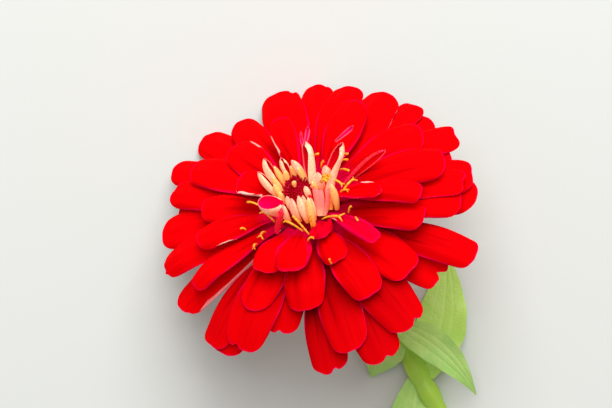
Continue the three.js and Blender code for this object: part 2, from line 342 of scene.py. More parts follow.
SOCKET_KINDS = {bpy.types.Object: "Object", bpy.types.Material: "Material", int: "Int", float: "Float"}


class Nodes(Writer):
    """A geometry node tree with named inputs. Its sizes are their sockets."""

    def __init__(self, name, values):
        self.name, self.values = name, values
        self.tree = bpy.data.node_groups.new(name, "GeometryNodeTree")
        self.add_socket("Geometry", "Geometry", "OUTPUT")
        self.add_socket("Geometry", "Geometry")
        for label, value in values.items():
            kind = next(kind for holds, kind in SOCKET_KINDS.items() if isinstance(value, holds))
            self.add_socket(label, kind)
        given = self.tree.nodes.new("NodeGroupInput").outputs
        self.sizes = {socket.name: Term(self, socket) for socket in given}
        self.output = self.tree.nodes.new("NodeGroupOutput").inputs[0]

    def add_socket(self, label, kind, way="INPUT"):
        self.tree.interface.new_socket(label, in_out=way, socket_type=f"NodeSocket{kind}")

    def vector(self, x=0.0, y=0.0, z=0.0):
        return self.node("ShaderNodeCombineXYZ", inputs={0: x, 1: y, 2: z})

    def map(self, value, low, high, first, last):
        return self.node("ShaderNodeMapRange", inputs={
            "Value": value, "From Min": low, "From Max": high, "To Min": first, "To Max": last})

    def random(self, low, high, seed, **more):
        return self.node("FunctionNodeRandomValue", {"data_type": "FLOAT"},
                         {2: low, 3: high, "Seed": seed, **more}, 1)

    def points(self, number_of, x, y, z):
        return self.node("GeometryNodePoints", inputs={"Count": number_of, "Position": self.vector(x, y, z)})

    def shape_of(self, label):
        return self.node("GeometryNodeObjectInfo", {"transform_space": "ORIGINAL"},
                         {"Object": self.sizes[label]}, "Geometry")

    def build(self, host, points, shape, rotation, scale):
        """Puts copies of a shape on points, ends the tree with real geometry and its material, and returns
        its result on host as a plain mesh."""
        copies = self.node("GeometryNodeInstanceOnPoints", inputs={
            "Points": points, "Instance": shape, "Rotation": rotation, "Scale": scale})
        real = self.node("GeometryNodeRealizeInstances", inputs={"Geometry": copies})
        self.feed(self.output, self.node("GeometryNodeSetMaterial", inputs={
            "Geometry": real, "Material": self.sizes["Material"]}))
        modifier = host.modifiers.new(self.name, "NODES")
        modifier.node_group = self.tree
        for item in self.tree.interface.items_tree:
            if item.in_out == "INPUT" and item.name in self.values:
                modifier[item.identifier] = self.values[item.name]
        evaluated = host.evaluated_get(bpy.context.evaluated_depsgraph_get())
        mesh = bpy.data.meshes.new_from_object(evaluated)
        bpy.data.objects.remove(host)
        return place_object(self.name, mesh)


# --- meshes

SHARP_RIM = math.radians(60)


def place_object(name, data):
    placed = bpy.data.objects.new(name, data)
    bpy.context.scene.collection.objects.link(placed)
    return placed


def new_piece(name, vertices, faces, material):
    """A smooth mesh object at the origin. Its vertices are in millimetres."""
    mesh = bpy.data.meshes.new(name)
    mesh.from_pydata((np.asarray(vertices, float) * MM).tolist(), [], faces)
    mesh.materials.append(material)
    mesh.shade_smooth()
    return place_object(name, mesh)


def add_attributes(piece, **values):
    for name, value in values.items():
        every = np.broadcast_to(np.ravel(value), len(piece.data.vertices)).astype(np.float32)
        piece.data.attributes.new(name, "FLOAT", "POINT").data.foreach_set("value", every)


def add_blade_map(piece, across, along):
    """A UV map from each vertex's distance across and along the blade."""
    corners = read(piece.data.loops, "vertex_index", np.int32)
    pairs = np.stack((across[corners], along[corners]), 1) / MAP_SPAN + 0.5
    piece.data.uv_layers.new(name=BLADE_MAP).data.foreach_set("uv", pairs.astype(np.float32).ravel())


def grid_normals(middle):
    normals = np.cross(np.gradient(middle, axis=0), np.gradient(middle, axis=1))
    return normals / np.maximum(np.linalg.norm(normals, axis=2, keepdims=True), 1e-9)


def quads(*corners):
    return np.stack(corners, -1).reshape(-1, 4)


def twice(grid):
    """A value for each vertex of a skin's upper and lower face."""
    return np.tile(np.ravel(grid), 2)


def skin(name, middle, thickness, material, across, along, rim):
    """A closed thin skin on a grid of points. Attributes: side is 1 on the upper face, along runs from 0 to
    1 and rim grows inwards from the edge."""
    rows, columns = middle.shape[:2]
    each = rows * columns
    half = grid_normals(middle) * (np.broadcast_to(thickness, (rows, columns))[..., None] / 2)
    points = np.concatenate(((middle + half).reshape(-1, 3), (middle - half).reshape(-1, 3)))
    top = np.arange(each).reshape(rows, columns)
    upper = quads(top[:-1, :-1], top[1:, :-1], top[1:, 1:], top[:-1, 1:])
    lower = upper[:, (0, 3, 2, 1)] + each       # turned over, and split along the same diagonals
    edge = np.concatenate((top[0, :-1], top[:-1, -1], top[-1, :0:-1], top[:0:-1, 0]))
    ahead = np.roll(edge, -1)
    faces = np.concatenate((upper, lower, quads(edge, ahead, ahead + each, edge + each)))
    piece = new_piece(name, points, faces.tolist(), material)
    piece.data.set_sharp_from_angle(angle=SHARP_RIM)
    add_attributes(piece, side=np.repeat((1.0, 0.0), each), along=twice(along / along.max()), rim=twice(rim))
    add_blade_map(piece, twice(across), twice(along))
    return piece


def finish_piece(piece, slot, *nodes):
    if nodes:
        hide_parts(*nodes)
    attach(piece, BODY)
    return piece


def ring_faces(rows, sides):
    """Faces between rings of vertices."""
    turns = [(k, (k + 1) % sides) for k in range(sides)]
    return [(a + k, a + n, a + sides + n, a + sides + k)
            for a in range(0, (rows - 1) * sides, sides) for k, n in turns]


def lathe(name, profile, sides, material):
    """A closed round mesh about z from (radius, height) stations, both ends on the axis."""
    angles = round_angles(sides)
    hoops = [np.stack((r * np.cos(angles), r * np.sin(angles), np.full(sides, h)), 1)
             for r, h in profile[1:-1]]
    points = np.concatenate((*hoops, [(0.0, 0.0, profile[end][1]) for end in (0, -1)]))
    faces = ring_faces(len(hoops), sides)
    top, last = (len(hoops) - 1) * sides, len(points) - 1
    for k in range(sides):
        n = (k + 1) % sides
        faces += [(last - 1, n, k), (last, top + k, top + n)]
    return new_piece(name, points, faces, material)


def rings(centres, radii, sides, aside):
    """Rings of points round a line of centres: radii is a grid of a row for each centre."""
    centres = np.array(centres, float)
    along = np.gradient(centres, axis=0)
    right = np.cross(along, aside)
    right /= np.linalg.norm(right, axis=1, keepdims=True)
    up = np.cross(right, along)
    up /= np.linalg.norm(up, axis=1, keepdims=True)
    angles = round_angles(sides)
    spokes = np.cos(angles)[:, None] * right[:, None] - np.sin(angles)[:, None] * up[:, None]
    return centres[:, None] + np.broadcast_to(radii, (len(centres), sides))[..., None] * spokes


def tube(grid):
    """Vertices and faces of a closed tube through rings of points."""
    rows, sides = grid.shape[:2]
    ends = [tuple(range(sides - 1, -1, -1)), tuple(range((rows - 1) * sides, rows * sides))]
    return grid.reshape(-1, 3), ring_faces(rows, sides) + ends


# --- petals

PETAL_ORDER = ("outer_petal", "second_petal", "third_petal", "inner_petal", "small_petal")
PETAL_ROWS, PETAL_COLUMNS = 54, 26
# Half-width along a petal, as a share of the greatest.
PETAL_OUTLINE = ((0, 0.26), (0.15, 0.36), (0.35, 0.6), (0.55, 0.86), (0.75, 1.0), (0.9, 0.97), (1, 0.9))
NOTCH_WIDTH = 0.14          # of a notch in a petal's end, as a share of half the width
END_RIPPLE = 0.004          # unevenness of a petal's end, as a share of its length
WIDTH_RIPPLE = 0.03         # unevenness of a petal's width, as a share of it
# Lengths over which a rolled edge opens and closes, as shares of the petal's.
ROLL_START, ROLL_END = 0.15, 0.12
THIN_RIM, RIM_REACH = 0.3, 0.6      # a petal's thickness at its rim, as a share, and how far in it is thinner
# Painted shade: petals that fall this far, in millimetres, towards the near side and away from the light, are
# painted deeper red by this much.
HANGING_FALL, HANGING_TONE = 9.0, 1.15
TONE_SPREAD = 0.25          # how much deeper red any petal may be
laid = {}                   # the pile of petals, once they are laid


def petal(notches=(), rolls=(), fullness=0.25, arch=1.0, rim_width=0.42, rosy=0.0, blush=0.2):
    """How a petal differs from a plain one. A notch is (across from -1 to 1, depth in millimetres) and a
    roll is (side, strip, radius, start, end): a strip of the edge rolled up and in, between two shares of the
    length. Fullness squares the end: 0 is a half circle."""
    return SimpleNamespace(**locals())


SPECIAL_PETALS = {
    "outer_petal_01": petal(notches=((0.25, 1.0),)),
    "outer_petal_02": petal(notches=((0.15, 1.0),)),
    "outer_petal_03": petal(notches=((-0.05, 1.8),), fullness=0.5),
    "outer_petal_04": petal(fullness=0.0),
    "outer_petal_05": petal(notches=((0.45, 1.0), (0.7, 2.2), (0.95, 3.4)), rolls=((1, 3.0, 0.9, 0.1, 1.1),),
                            fullness=0.0, blush=0.85),
    "outer_petal_06": petal(notches=((0.0, 0.8),)),
    "outer_petal_10": petal(notches=((-0.5, 0.6),)),
    "outer_petal_11": petal(blush=0.95),
    "second_petal_01": petal(notches=((-0.25, 1.2),)),
    "second_petal_03": petal(notches=((0.3, 1.2),)),
    "second_petal_06": petal(fullness=0.5),
    "second_petal_07": petal(arch=1.7, blush=0.95),
    "second_petal_08": petal(notches=((-0.7, 1.4),), fullness=0.5),
    "second_petal_12": petal(notches=((0.35, -0.6),), fullness=0.1),
    "third_petal_02": petal(fullness=0.0),
    "inner_petal_01": petal(rolls=((1, 0.55, 0.17, 0.6, 0.9),)),
    "inner_petal_03": petal(rim_width=1.0),
    "inner_petal_08": petal(rolls=((-1, 1.5, 0.45, 0.8, 0.95),), blush=0.55),
    "inner_petal_09": petal(rolls=((1, 1.6, 0.48, 0.45, 0.92),), blush=0.4),
    "small_petal_01": petal(rolls=((1, 0.9, 0.27, 0.6, 0.9),), arch=-0.8, fullness=0.0),
    "small_petal_02": petal(rolls=((-1, 0.9, 0.3, 0.12, 0.3),), rim_width=0.9, arch=-0.5, rosy=0.16),
    "small_petal_03": petal(rim_width=0.6, rosy=0.1, fullness=-0.15),
    "small_petal_04": petal(rolls=((1, 1.8, 0.55, 0.3, 0.95),), arch=-0.8, blush=0.0),
}

# Narrow petals that show only in the gaps of the outer row, each shaped like the petal beside it: that
# petal, the turn from it in degrees, and its length as a share.
GAP_PETALS = {
    "gap_petal_01": ("outer_petal_11", -9, 0.97),
    "gap_petal_02": ("second_petal_05", 10.5, 0.87),
    "gap_petal_03": ("outer_petal_07", 4.5, 1.0),
    "gap_petal_04": ("outer_petal_12", -10, 0.9),
}


class BladeShape:
    """A blade's smooth middle surface, fitted to the vertices of its solid. Its foot is its end nearest to
    home."""

    END_VERTICES = 10

    def __init__(self, points, home=(0.0, 0.0)):
        plan = points[:, :2]
        self.seat = plan[np.argsort(np.hypot(*(plan - home).T))[:self.END_VERTICES]].mean(0)
        away = plan - self.seat
        tip = away[np.argsort(-np.hypot(*away.T))[:self.END_VERTICES]].mean(0)
        self.length = float(np.hypot(*tip))
        self.ahead = tip / self.length
        self.across = np.array((-self.ahead[1], self.ahead[0]))
        u, s = away @ self.ahead / self.length, away @ self.across
        bend = 4 * u * (1 - u)
        self.bow = float(s @ bend / (bend @ bend))
        s = s - self.bow * bend
        self.width = 2 * float(np.abs(s).max())
        self.terms = np.linalg.lstsq(self.powers(u, s), points[:, 2], rcond=None)[0]

    def beside(self, turn, scale):
        """The same shape turned about the bloom's axis, with its length scaled."""
        other = copy.copy(self)
        cosine, sine = math.cos(turn), math.sin(turn)
        spin = np.array(((cosine, sine), (-sine, cosine)))
        other.seat, other.ahead, other.across = self.seat @ spin, self.ahead @ spin, self.across @ spin
        other.length = self.length * scale
        return other

    def hang(self):
        """How far a petal points to the near side and down, from 0 to 1."""
        foot, tip = self.surface(np.array((0.1, 1.0)), np.zeros(2))[:, 2]
        return max(0.0, -self.ahead[1]) * float(np.clip((foot - tip) / HANGING_FALL, 0, 1))

    def powers(self, u, s):
        return np.stack((u ** 0, u, u ** 2, u ** 3, u ** 4, s, s * u, s ** 2, s ** 2 * u), -1)

    def surface(self, u, s):
        """Points a share u along and s millimetres across."""
        aside = s + self.bow * 4 * u * (1 - u)
        plan = self.seat + (u * self.length)[..., None] * self.ahead + aside[..., None] * self.across
        return np.concatenate((plan, (self.powers(u, s) @ self.terms)[..., None]), -1)


class Pile:
    """The heights of the petals laid so far, on a square grid seen along the bloom's axis."""

    CELL, HALF, FINE = 0.4, 58.0, 4
    EMPTY = -1e3                # height of a cell with no petal
    CARRIED = 0.985             # share of a lift that reaches the next point of a petal
    LIFTS, SPREADS = 3, 60      # times that a petal is lifted, and steps in which each lift spreads

    def __init__(self, gap):
        cells = int(2 * self.HALF / self.CELL)
        self.gap = gap
        self.top = np.full((cells, cells), self.EMPTY)

    def refined(self, grid):
        def weights(n):
            at = np.arange((n - 1) * self.FINE + 1) / self.FINE
            return np.maximum(0, 1 - np.abs(at[:, None] - np.arange(n)))
        rows, columns = grid.shape[:2]
        return np.einsum("ai,ijk,bj->abk", weights(rows), grid, weights(columns), optimize=True)

    def cells(self, fine):
        return tuple(np.floor((fine[..., k] + self.HALF) / self.CELL).astype(int) for k in (0, 1))

    def need(self, grid):
        """How far each point of a grid must rise to clear the pile."""
        near = self.top
        for axis in (0, 1):
            near = np.maximum(near, np.maximum(np.roll(near, 1, axis), np.roll(near, -1, axis)))
        fine = self.refined(grid)
        short = near[self.cells(fine)] + self.gap - fine[..., 2]
        need = np.zeros(grid.shape[:2])
        at = [np.arange(n) / self.FINE for n in short.shape]
        for first in (np.floor, np.ceil):
            for second in (np.floor, np.ceil):
                i, j = np.meshgrid(first(at[0]).astype(int), second(at[1]).astype(int), indexing="ij")
                np.maximum.at(need, (i, j), short)
        return need

    def height(self, x, y):
        return self.top[tuple(int((k + self.HALF) / self.CELL) for k in (x, y))]

    def lay(self, grid):
        """Raises a grid like a soft sheet until it clears the pile, and adds it."""
        for _ in range(self.LIFTS):
            need = self.need(grid)
            lift = need.copy()
            for _ in range(self.SPREADS):
                padded = np.pad(lift, 1, mode="edge")
                spread = (padded[:-2, 1:-1] + padded[2:, 1:-1] + padded[1:-1, :-2] + padded[1:-1, 2:]) / 4
                lift = np.maximum(need, spread * self.CARRIED)
            grid[..., 2] += lift
        fine = self.refined(grid)
        np.maximum.at(self.top, self.cells(fine), fine[..., 2])
        return grid


def inset(u, v, half, length_mm):
    """How far each point of a blade lies in from its edge, in millimetres."""
    return np.minimum((1 - np.abs(v)) * half, (1 - u) * length_mm)


def petal_outline(shape, look, rng):
    """A petal's outline as grids: share along, millimetres across and millimetres in from the edge, and its
    rows and columns from 0 to 1 and -1 to 1."""
    u = np.linspace(0, 1, PETAL_ROWS)[:, None]
    v = np.sin(np.linspace(-1, 1, PETAL_COLUMNS) * QUARTER)[None, :]
    power = 2 + 2 * look.fullness
    round_end = 1 - (1 - np.abs(v) ** power) ** (1 / power)
    reach = 1 - round_end * (0.5 - 0.2 * look.fullness) * shape.width / shape.length
    for waves in (3, 5):
        reach = reach + rng.normal(0, END_RIPPLE) * np.cos(waves * v + rng.uniform(0, 6))
    for place, depth in look.notches:
        reach = reach - depth / shape.length * np.exp(-((v - place) / NOTCH_WIDTH) ** 2)
    half = curve(PETAL_OUTLINE, u) * shape.width / 2
    half = half * (1 + rng.normal(0, WIDTH_RIPPLE) * np.sin(math.pi * u))
    return u * reach, v * half, inset(u, v, half, shape.length), u + 0 * v, v + 0 * u


def relief(u, v, settings, look, rng):
    """What turns a smooth blade into a grooved one with falling edges and end, in millimetres."""
    lanes = rng.uniform(2.4, 3.2)
    shift = rng.uniform(-0.15, 0.15)
    body = ease(u / 0.3) * (1 - 0.5 * ease((u - 0.75) / 0.25))
    grooves = settings.groove / MM * np.cos(math.pi * lanes * (v - shift)) * body
    wave = rng.uniform(0.05, 0.16) * np.sin(u * rng.uniform(8, 12) + rng.uniform(0, 6)) * v * np.abs(v)
    arch = look.arch * settings.arch / MM * v ** 2 * ease(u / 0.5)
    fall = settings.tip_fall / MM * ease((u - 0.7) / 0.3) ** 2
    return grooves + wave - arch - fall


def roll_edges(points, side, u, shape, look):
    """Rolls strips of a petal's edges up and over, and widens the petal by what its outline would lose."""
    across = np.append(shape.across, 0.0)
    for sign, strip, radius, start, end in look.rolls:
        out = np.maximum(0.0, side * sign)
        edge = out.max(1, keepdims=True)
        there = ease((u - start) / ROLL_START) * ease((end + ROLL_END - u) / ROLL_END)
        wider = there * (strip - radius) * out / edge
        beyond = np.maximum(0.0, out + wider - (edge - there * radius))
        angle = beyond / radius
        points = points + (sign * (wider + radius * np.sin(angle) - beyond))[..., None] * across
        points[..., 2] += radius * (1 - np.cos(angle))
    return points


def build_petal(name, shape, look, settings, material, seed, nodes):
    rng = np.random.default_rng(seed)
    u, side, rim, row, v = petal_outline(shape, look, rng)
    points = shape.surface(u, side)
    points[..., 2] += relief(row, v, settings, look, rng)
    points = bloom.world(roll_edges(laid["pile"].lay(points), side, row, shape, look))
    full = settings.thickness / MM
    points[..., 2] = np.maximum(points[..., 2], full)
    thickness = full * (THIN_RIM + (1 - THIN_RIM) * ease(rim / RIM_REACH))
    piece = skin(name, points, thickness, material, side, row * shape.length, rim / look.rim_width)
    # tone: a random deeper red, plus painted shade on petals that hang towards the near side, away from the
    # light
    tone = rng.uniform(0, TONE_SPREAD) + HANGING_TONE * shape.hang()
    add_attributes(piece, tone=tone, rosy=look.rosy, blush=look.blush)
    return finish_piece(piece, "petal", *nodes)


def petal_material(settings):
    shader = Shader("petal_red")
    ramp = shader.ramp
    side, along, rim, tone, rosy, blush = shader.attributes("side", "along", "rim", "tone", "rosy", "blush")
    veins = shader.fibres(220.0, 9.0, 4.0)
    streaks = shader.fibres(60.0, 3.5, 2.0)
    blotch = shader.fibres(12.0, 12.0, 2.0)
    streaked = ramp(streaks, 0.48, 0.7) * ramp(along, 1.05, 0.5)
    edge = ramp(rim, 1.0, 0.35) * ramp(blotch, 0.3, 0.55)
    red = shader.paint(
        settings.red,
        # deeper red by tone: partly a random tone, partly painted shade on the hanging petals
        (tone * 0.6, settings.deep_red),
        (ramp(veins, 0.5, 0.75) * 0.35, settings.deep_red),
        # dark streaks along the grooves in the painted-shade colour: partly streaks of the petal, partly
        # painted shade in the grooves, strongest on the hanging petals
        (streaked * (tone * 0.85 + 0.15), settings.shade),
        # painted shade at the foot of every petal, where the petals above overlap it
        (ramp(along, 0.55, 0.1) * (tone * 0.4 + 0.3), settings.shade),
        # painted shade along the hanging petals, darkest from the foot outwards
        (ramp(along, 1.0, 0.4) * tone, settings.shade),
        (rosy, settings.rose),
        (ramp(along, 0.3, 0.05) * 0.45, settings.rose),
        (edge * 0.45, settings.rose))
    pale = shader.paint(settings.underside, (ramp(veins, 0.4, 0.7) * 0.45, settings.underside_vein),
                        (blush, settings.underside_vein))
    tint = shader.paint(pale, (ramp(side, 0.02, 0.2), red))
    return shader.finish(tint, veins, (0.45, 0.2), (0.5, 0.12), 0.004)


class ZINNIA_OT_petals(bpy.types.Operator):
    """Lay the petals of all rows round the cone, from the lowest row up"""
    bl_idname = "zinnia.petals"
    bl_label = "Petals"

    def execute(self, context):
        settings = context.scene.zinnia_petals
        material = petal_material(settings)
        laid["pile"] = Pile(settings.gap / MM + settings.thickness / MM)
        names = sorted((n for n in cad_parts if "_petal_" in n),
                       key=lambda n: (PETAL_ORDER.index(n[:-3]), n))
        shapes = {name: BladeShape(bloom.local(vertices_of(name))) for name in names}
        for seed, name in enumerate([*GAP_PETALS, *names]):
            beside, degrees, scale = GAP_PETALS.get(name, (name, 0.0, 1.0))
            shape = shapes[beside].beside(math.radians(degrees), scale)
            look = SPECIAL_PETALS.get(name, petal())
            nodes = [name] if name in shapes else []
            build_petal(f"{name}_blade", shape, look, settings, material, seed, nodes)
        return {"FINISHED"}


# --- quills

QUILL_ROWS, QUILL_COLUMNS = 28, 22
GLOW_STRENGTH = 0.16        # strength of a painted glow: an emission that stands in for the light behind the thin walls shining through them
QUILL_OUTLINE = ((0, 0.6), (0.25, 0.86), (0.5, 1.0), (0.75, 0.88), (0.92, 0.56), (1, 0.28))
TRUMPET_OUTLINE = ((0, 0.3), (0.3, 0.5), (0.6, 0.84), (0.85, 1.0), (1, 0.9))
CUP_OUTLINE = ((0, 0.6), (0.3, 0.85), (0.6, 0.95), (0.85, 1.0), (1, 0.94))
RIBBON_OUTLINE = ((0, 0.6), (0.3, 0.9), (0.7, 1.0), (0.9, 0.8), (1, 0.35))
RIB_DEPTH = 0.07            # depth of the ribs along a quill, as a share of its radius
# How far one lip of a rolled quill lies outside the other, as a share of its radius.
OVERLAP = 0.13
THIN_LIP, LIP_REACH = 0.35, 0.5     # a quill's thickness at its lip, as a share, and how far in it is thinner
LIP_WIDTH = 0.4             # millimetres of a quill's edge that take the lip's colour


def quill(foot, tip, width, roll=(370, 330), turned=180, look="cream", bow=0.06, slant=0.2,
          outline=QUILL_OUTLINE, ribs=3.5):
    """A petal still rolled up: its foot and tip as [across, far, up] in millimetres, its width laid flat and
    how far it is rolled at its foot and mouth in degrees. Its opening faces straight up from the ground,
    turned by this many degrees to the right of the way it points."""
    return SimpleNamespace(**locals())


gold = partial(quill, look="gold")
blushed = partial(quill, look="blushed")
strap = partial(quill, slant=0.08, outline=RIBBON_OUTLINE)
# A narrow open strip, such as the drawn-out end of a quill.
ribbon = partial(quill, roll=(150, 60), turned=0, look="magenta", slant=0.1, outline=RIBBON_OUTLINE, ribs=1.0)

QUILLS = {
    "quill_01": quill((-5.7, 4.2, -0.3), (-7.5, 9.9, 6.5), 6.0, (370, 310), 60, slant=0.1),
    "quill_02": quill((-4.6, 5.5, 0.5), (-4.3, 11.7, 8.0), 6.4, (360, 230), 65, slant=0.08),
    "quill_03": strap((2.9, -1.6, 1.0), (6.5, 8.0, 11.0), 7.2, (350, 185), -66, bow=0.02),
    "quill_04": strap((4.6, -7.1, -1.0), (15.2, 1.2, 11.5), 7.6, (360, 175), -62, bow=-0.08),
    "quill_05": quill((1.8, -7.9, -0.5), (5.1, -3.6, 5.0), 13.6, (372, 352), 25, "flushed", 0.04, 0.1,
                      CUP_OUTLINE, 5.0),
    "far_left": quill((-1.1, 5.8, 1.5), (-0.4, 9.0, 8.0), 5.8, (370, 280), 30),
    "far_middle": quill((2.5, 3.3, 1.5), (1.6, 6.8, 8.0), 5.8),
    "far_between": gold((0.7, 4.9, 2.0), (0.7, 6.6, 6.4), 4.0),
    "far_bud": gold((-1.7, 4.6, 2.0), (-1.1, 6.7, 5.6), 4.6),
    "far_right": gold((2.3, 1.8, 2.0), (2.1, 5.2, 6.2), 4.8),
    "left_inner": gold((-4.3, 3.8, 0.5), (-4.7, 7.4, 5.0), 4.8, turned=120),
    "left_back": gold((-2.6, 5.0, 0.8), (-3.0, 9.4, 6.2), 4.6, turned=120),
    "left_bud": gold((-5.5, 0.8, 0.5), (-4.7, 2.4, 3.9), 4.8, turned=120),
    "left_side": gold((-5.0, 2.4, 0.6), (-5.2, 5.4, 4.4), 4.8, turned=120),
    "right_short": quill((6.8, -0.9, 1.5), (9.2, 0.4, 7.0), 6.4, (350, 280), 150),
    "right_mid": quill((3.0, -1.9, 1.2), (5.5, 0.2, 7.0), 5.6),
    "right_gold": gold((3.4, -3.2, 1.4), (3.8, -1.0, 5.6), 3.8),
    "near_bud": quill((1.2, -3.3, 2.0), (1.5, -1.7, 6.0), 4.6, (380, 350)),
    "near_middle": quill((-2.2, -7.9, -0.5), (-1.2, -4.4, 7.0), 5.8, (380, 340)),
    "near_left": blushed((-4.0, -6.3, -0.5), (-3.2, -3.6, 6.5), 5.8),
    "left_low": quill((-4.3, -2.4, 0.0), (-3.9, -1.0, 5.0), 4.2, (380, 350)),
    "left_curl": blushed((-6.5, -4.6, -0.5), (-6.0, -2.6, 4.6), 5.4),
    "near_right": gold((-1.3, -10.0, -0.5), (0.9, -6.1, 6.5), 5.4, (380, 340)),
    "near_slim": quill((-1.2, -5.4, 0.0), (-0.1, -4.2, 6.0), 4.0, (380, 340)),
    "near_edge": blushed((-0.3, -8.4, -0.5), (1.4, -5.6, 5.4), 4.2, (380, 340)),
    "right_low": gold((6.3, -8.6, -0.5), (7.9, -6.1, 7.0), 5.4),
    "right_back": quill((4.6, -2.6, 1.2), (6.2, -0.6, 7.4), 5.6),
    "left_cup": quill((-7.6, -1.0, -1.9), (-9.3, -2.1, 8.8), 15.5, turned=80, look="rose", bow=0.0,
                      slant=0.45, outline=TRUMPET_OUTLINE),
    "centre_bud": gold((-0.8, 1.2, 4.2), (-0.2, 1.6, 6.0), 3.2, (370, 340)),
    "hook": quill((1.3, -2.9, 1.0), (1.4, -4.2, 5.0), 2.6, look="red"),
    "near_red": ribbon((-10.8, -5.5, -1.0), (-6.6, -4.5, 6.5), 2.4, roll=(120, 90), turned=215, look="red"),
    "far_tail": ribbon((6.6, 7.2, 10.0), (9.7, 9.2, 14.0), 1.3),
    "far_slip": ribbon((4.1, 4.0, 5.5), (7.8, 11.0, 11.5), 1.5, turned=40),
    "right_tail": ribbon((14.2, 3.1, 10.5), (20.2, 1.5, 14.5), 1.3),
    "right_strip": quill((11.3, -2.7, 0.0), (24.9, -4.6, 6.5), 4.6, (300, 190), 40, "red", -0.04, 0.04),
}


def rolled_grid(spec):
    """The middle surface of a strip rolled round the line from its foot to its tip, and its own measures."""
    foot, tip = np.array(spec.foot), np.array(spec.tip)
    run = np.linalg.norm(tip - foot)
    ahead = (tip - foot) / run
    upright = bloom.rows @ (0.0, 0.0, 1.0)
    upright = unit(upright - ahead * (upright @ ahead))
    angle = math.radians(spec.turned)
    opening = upright * math.cos(angle) + np.cross(ahead, upright) * math.sin(angle)
    sideways = np.cross(ahead, opening)
    outward = np.array((foot[0], foot[1], 0.0))
    outward = unit(outward - ahead * (outward @ ahead))
    u = np.linspace(0, 1, QUILL_ROWS)[:, None]
    v = np.linspace(-1, 1, QUILL_COLUMNS)[None, :]
    along = u * (1 - spec.slant * np.abs(v) ** 1.6)
    half = curve(spec.outline, u) * spec.width / 2
    roll = np.radians(spec.roll[0] + (spec.roll[1] - spec.roll[0]) * ease(u))
    facing = v * roll / 2
    ribs = RIB_DEPTH * np.cos(spec.ribs * facing + 0.5 * spec.ribs) * ease(u / 0.3) * ease((1.1 - u) / 0.4)
    radius = 2 * half / roll * (1 + OVERLAP * v + ribs)
    line = foot + (along * run)[..., None] * ahead
    line = line + (spec.bow * run * 4 * along * (1 - along))[..., None] * outward
    ring = np.sin(facing)[..., None] * sideways - np.cos(facing)[..., None] * opening
    return line + radius[..., None] * ring, along * run, v * half, inset(u, v, half, run)


def quill_material(settings, name, outer, streak, streaked, inner, foot, glow):
    """Rolled petals: their outside in one colour with streaks of another, their inside, their feet, and a
    painted
    glow: an emission that stands in for the light that shows through the thin walls."""
    shader = Shader(name)
    ramp = shader.ramp
    side, along, rim = shader.attributes("side", "along", "rim")
    streaks = shader.fibres(170.0, 8.0, 3.0)
    specks = shader.fibres(750.0, 300.0, 2.0)
    outside = shader.paint(
        outer,
        (ramp(streaks, 0.6 - 0.3 * streaked, 0.85) * (0.3 + 0.6 * streaked), streak),
        (ramp(streaks * 0.3 + along, 0.95, 1.2) * 0.6, streak),
        (ramp(streaks * 0.2 + along, 0.5, 0.1), foot),
        (ramp(specks, 0.53, 0.6) * 0.75, settings.lip))
    inside = shader.paint(inner, (ramp(along, 0.45, 0.1), settings.maroon),
                          (ramp(rim, 1.1, 0.3) * 0.75, settings.lip))
    outer_face = ramp(side, 0.35, 0.65)
    # painted glow: the walls emit light, standing in for the light that passes through them
    shader.set(Emission_Color=shader.paint(inner, (outer_face, glow)), Emission_Strength=GLOW_STRENGTH)
    return shader.finish(shader.paint(inside, (outer_face, outside)), streaks, (0.42, 0.2), (0.5, 0.12), 0.05)


class ZINNIA_OT_quills(bpy.types.Operator):
    """Stand the rolled young petals round the disc"""
    bl_idname = "zinnia.quills"
    bl_label = "Quills"

    def execute(self, context):
        settings = context.scene.zinnia_heart
        cream, blush, foot, glow = settings.cream, settings.blush, settings.foot, settings.glow
        inside, magenta, red = settings.inside, settings.magenta, context.scene.zinnia_petals.red
        looks = {
            "cream": (cream, blush, 0.15, inside, foot, glow),
            "blushed": (cream, blush, 0.9, red, foot, glow),
            "gold": (settings.gold, cream, 0.3, inside, foot, glow),
            "rose": (cream, magenta, 0.2, magenta, blush, glow),
            "flushed": (blush, settings.lip, 0.5, red, cream, glow),
            "magenta": (magenta, red, 0.4, magenta, magenta, magenta),
            "red": (red, magenta, 0.3, red, magenta, red),
        }
        materials = {look: quill_material(settings, f"quill_{look}", *tints) for look, tints in looks.items()}
        for name, spec in QUILLS.items():
            points, along, across, rim = rolled_grid(spec)
            thickness = settings.thickness / MM * (THIN_LIP + (1 - THIN_LIP) * ease(rim / LIP_REACH))
            piece = skin(f"{name}_floret", bloom.world(points), thickness, materials[spec.look],
                         across, along, rim / LIP_WIDTH)
            finish_piece(piece, "quill", *([name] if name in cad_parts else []))
        return {"FINISHED"}


# --- disc and stigmas

DISC_PLACE = (-0.5, 1.2, 0.0)   # foot of the dome, on the bloom's axes in millimetres
DOME_PROFILE = ((0, -14), (9.3, -14), (9.8, -11.4), (8.6, -7.6), (7.2, -4), (6.0, -1.4), (5.0, 0.8),
                (3.9, 2.6), (2.2, 3.5), (0, 3.8))
DOME_TOP = 4.0
ROUND_SIDES = 48                # of the dome and the cup
BUD_PROFILE = ((0, -0.3), (0.2, -0.2), (0.27, 0.25), (0.2, 0.55), (0, 0.68))
BUD_SIDES = 6
BUD_SCALES = (0.75, 1.5)        # of the middle floret and the outermost


def disc_material(settings):
    shader = Shader("disc_maroon")
    mottle = shader.grain(900.0, 3.0)
    tint = shader.paint(settings.maroon, (shader.ramp(mottle, 0.4, 0.65), settings.purple))
    return shader.finish(tint, mottle, (0.4, 0.3), (0.6, 0.2), 0.05)


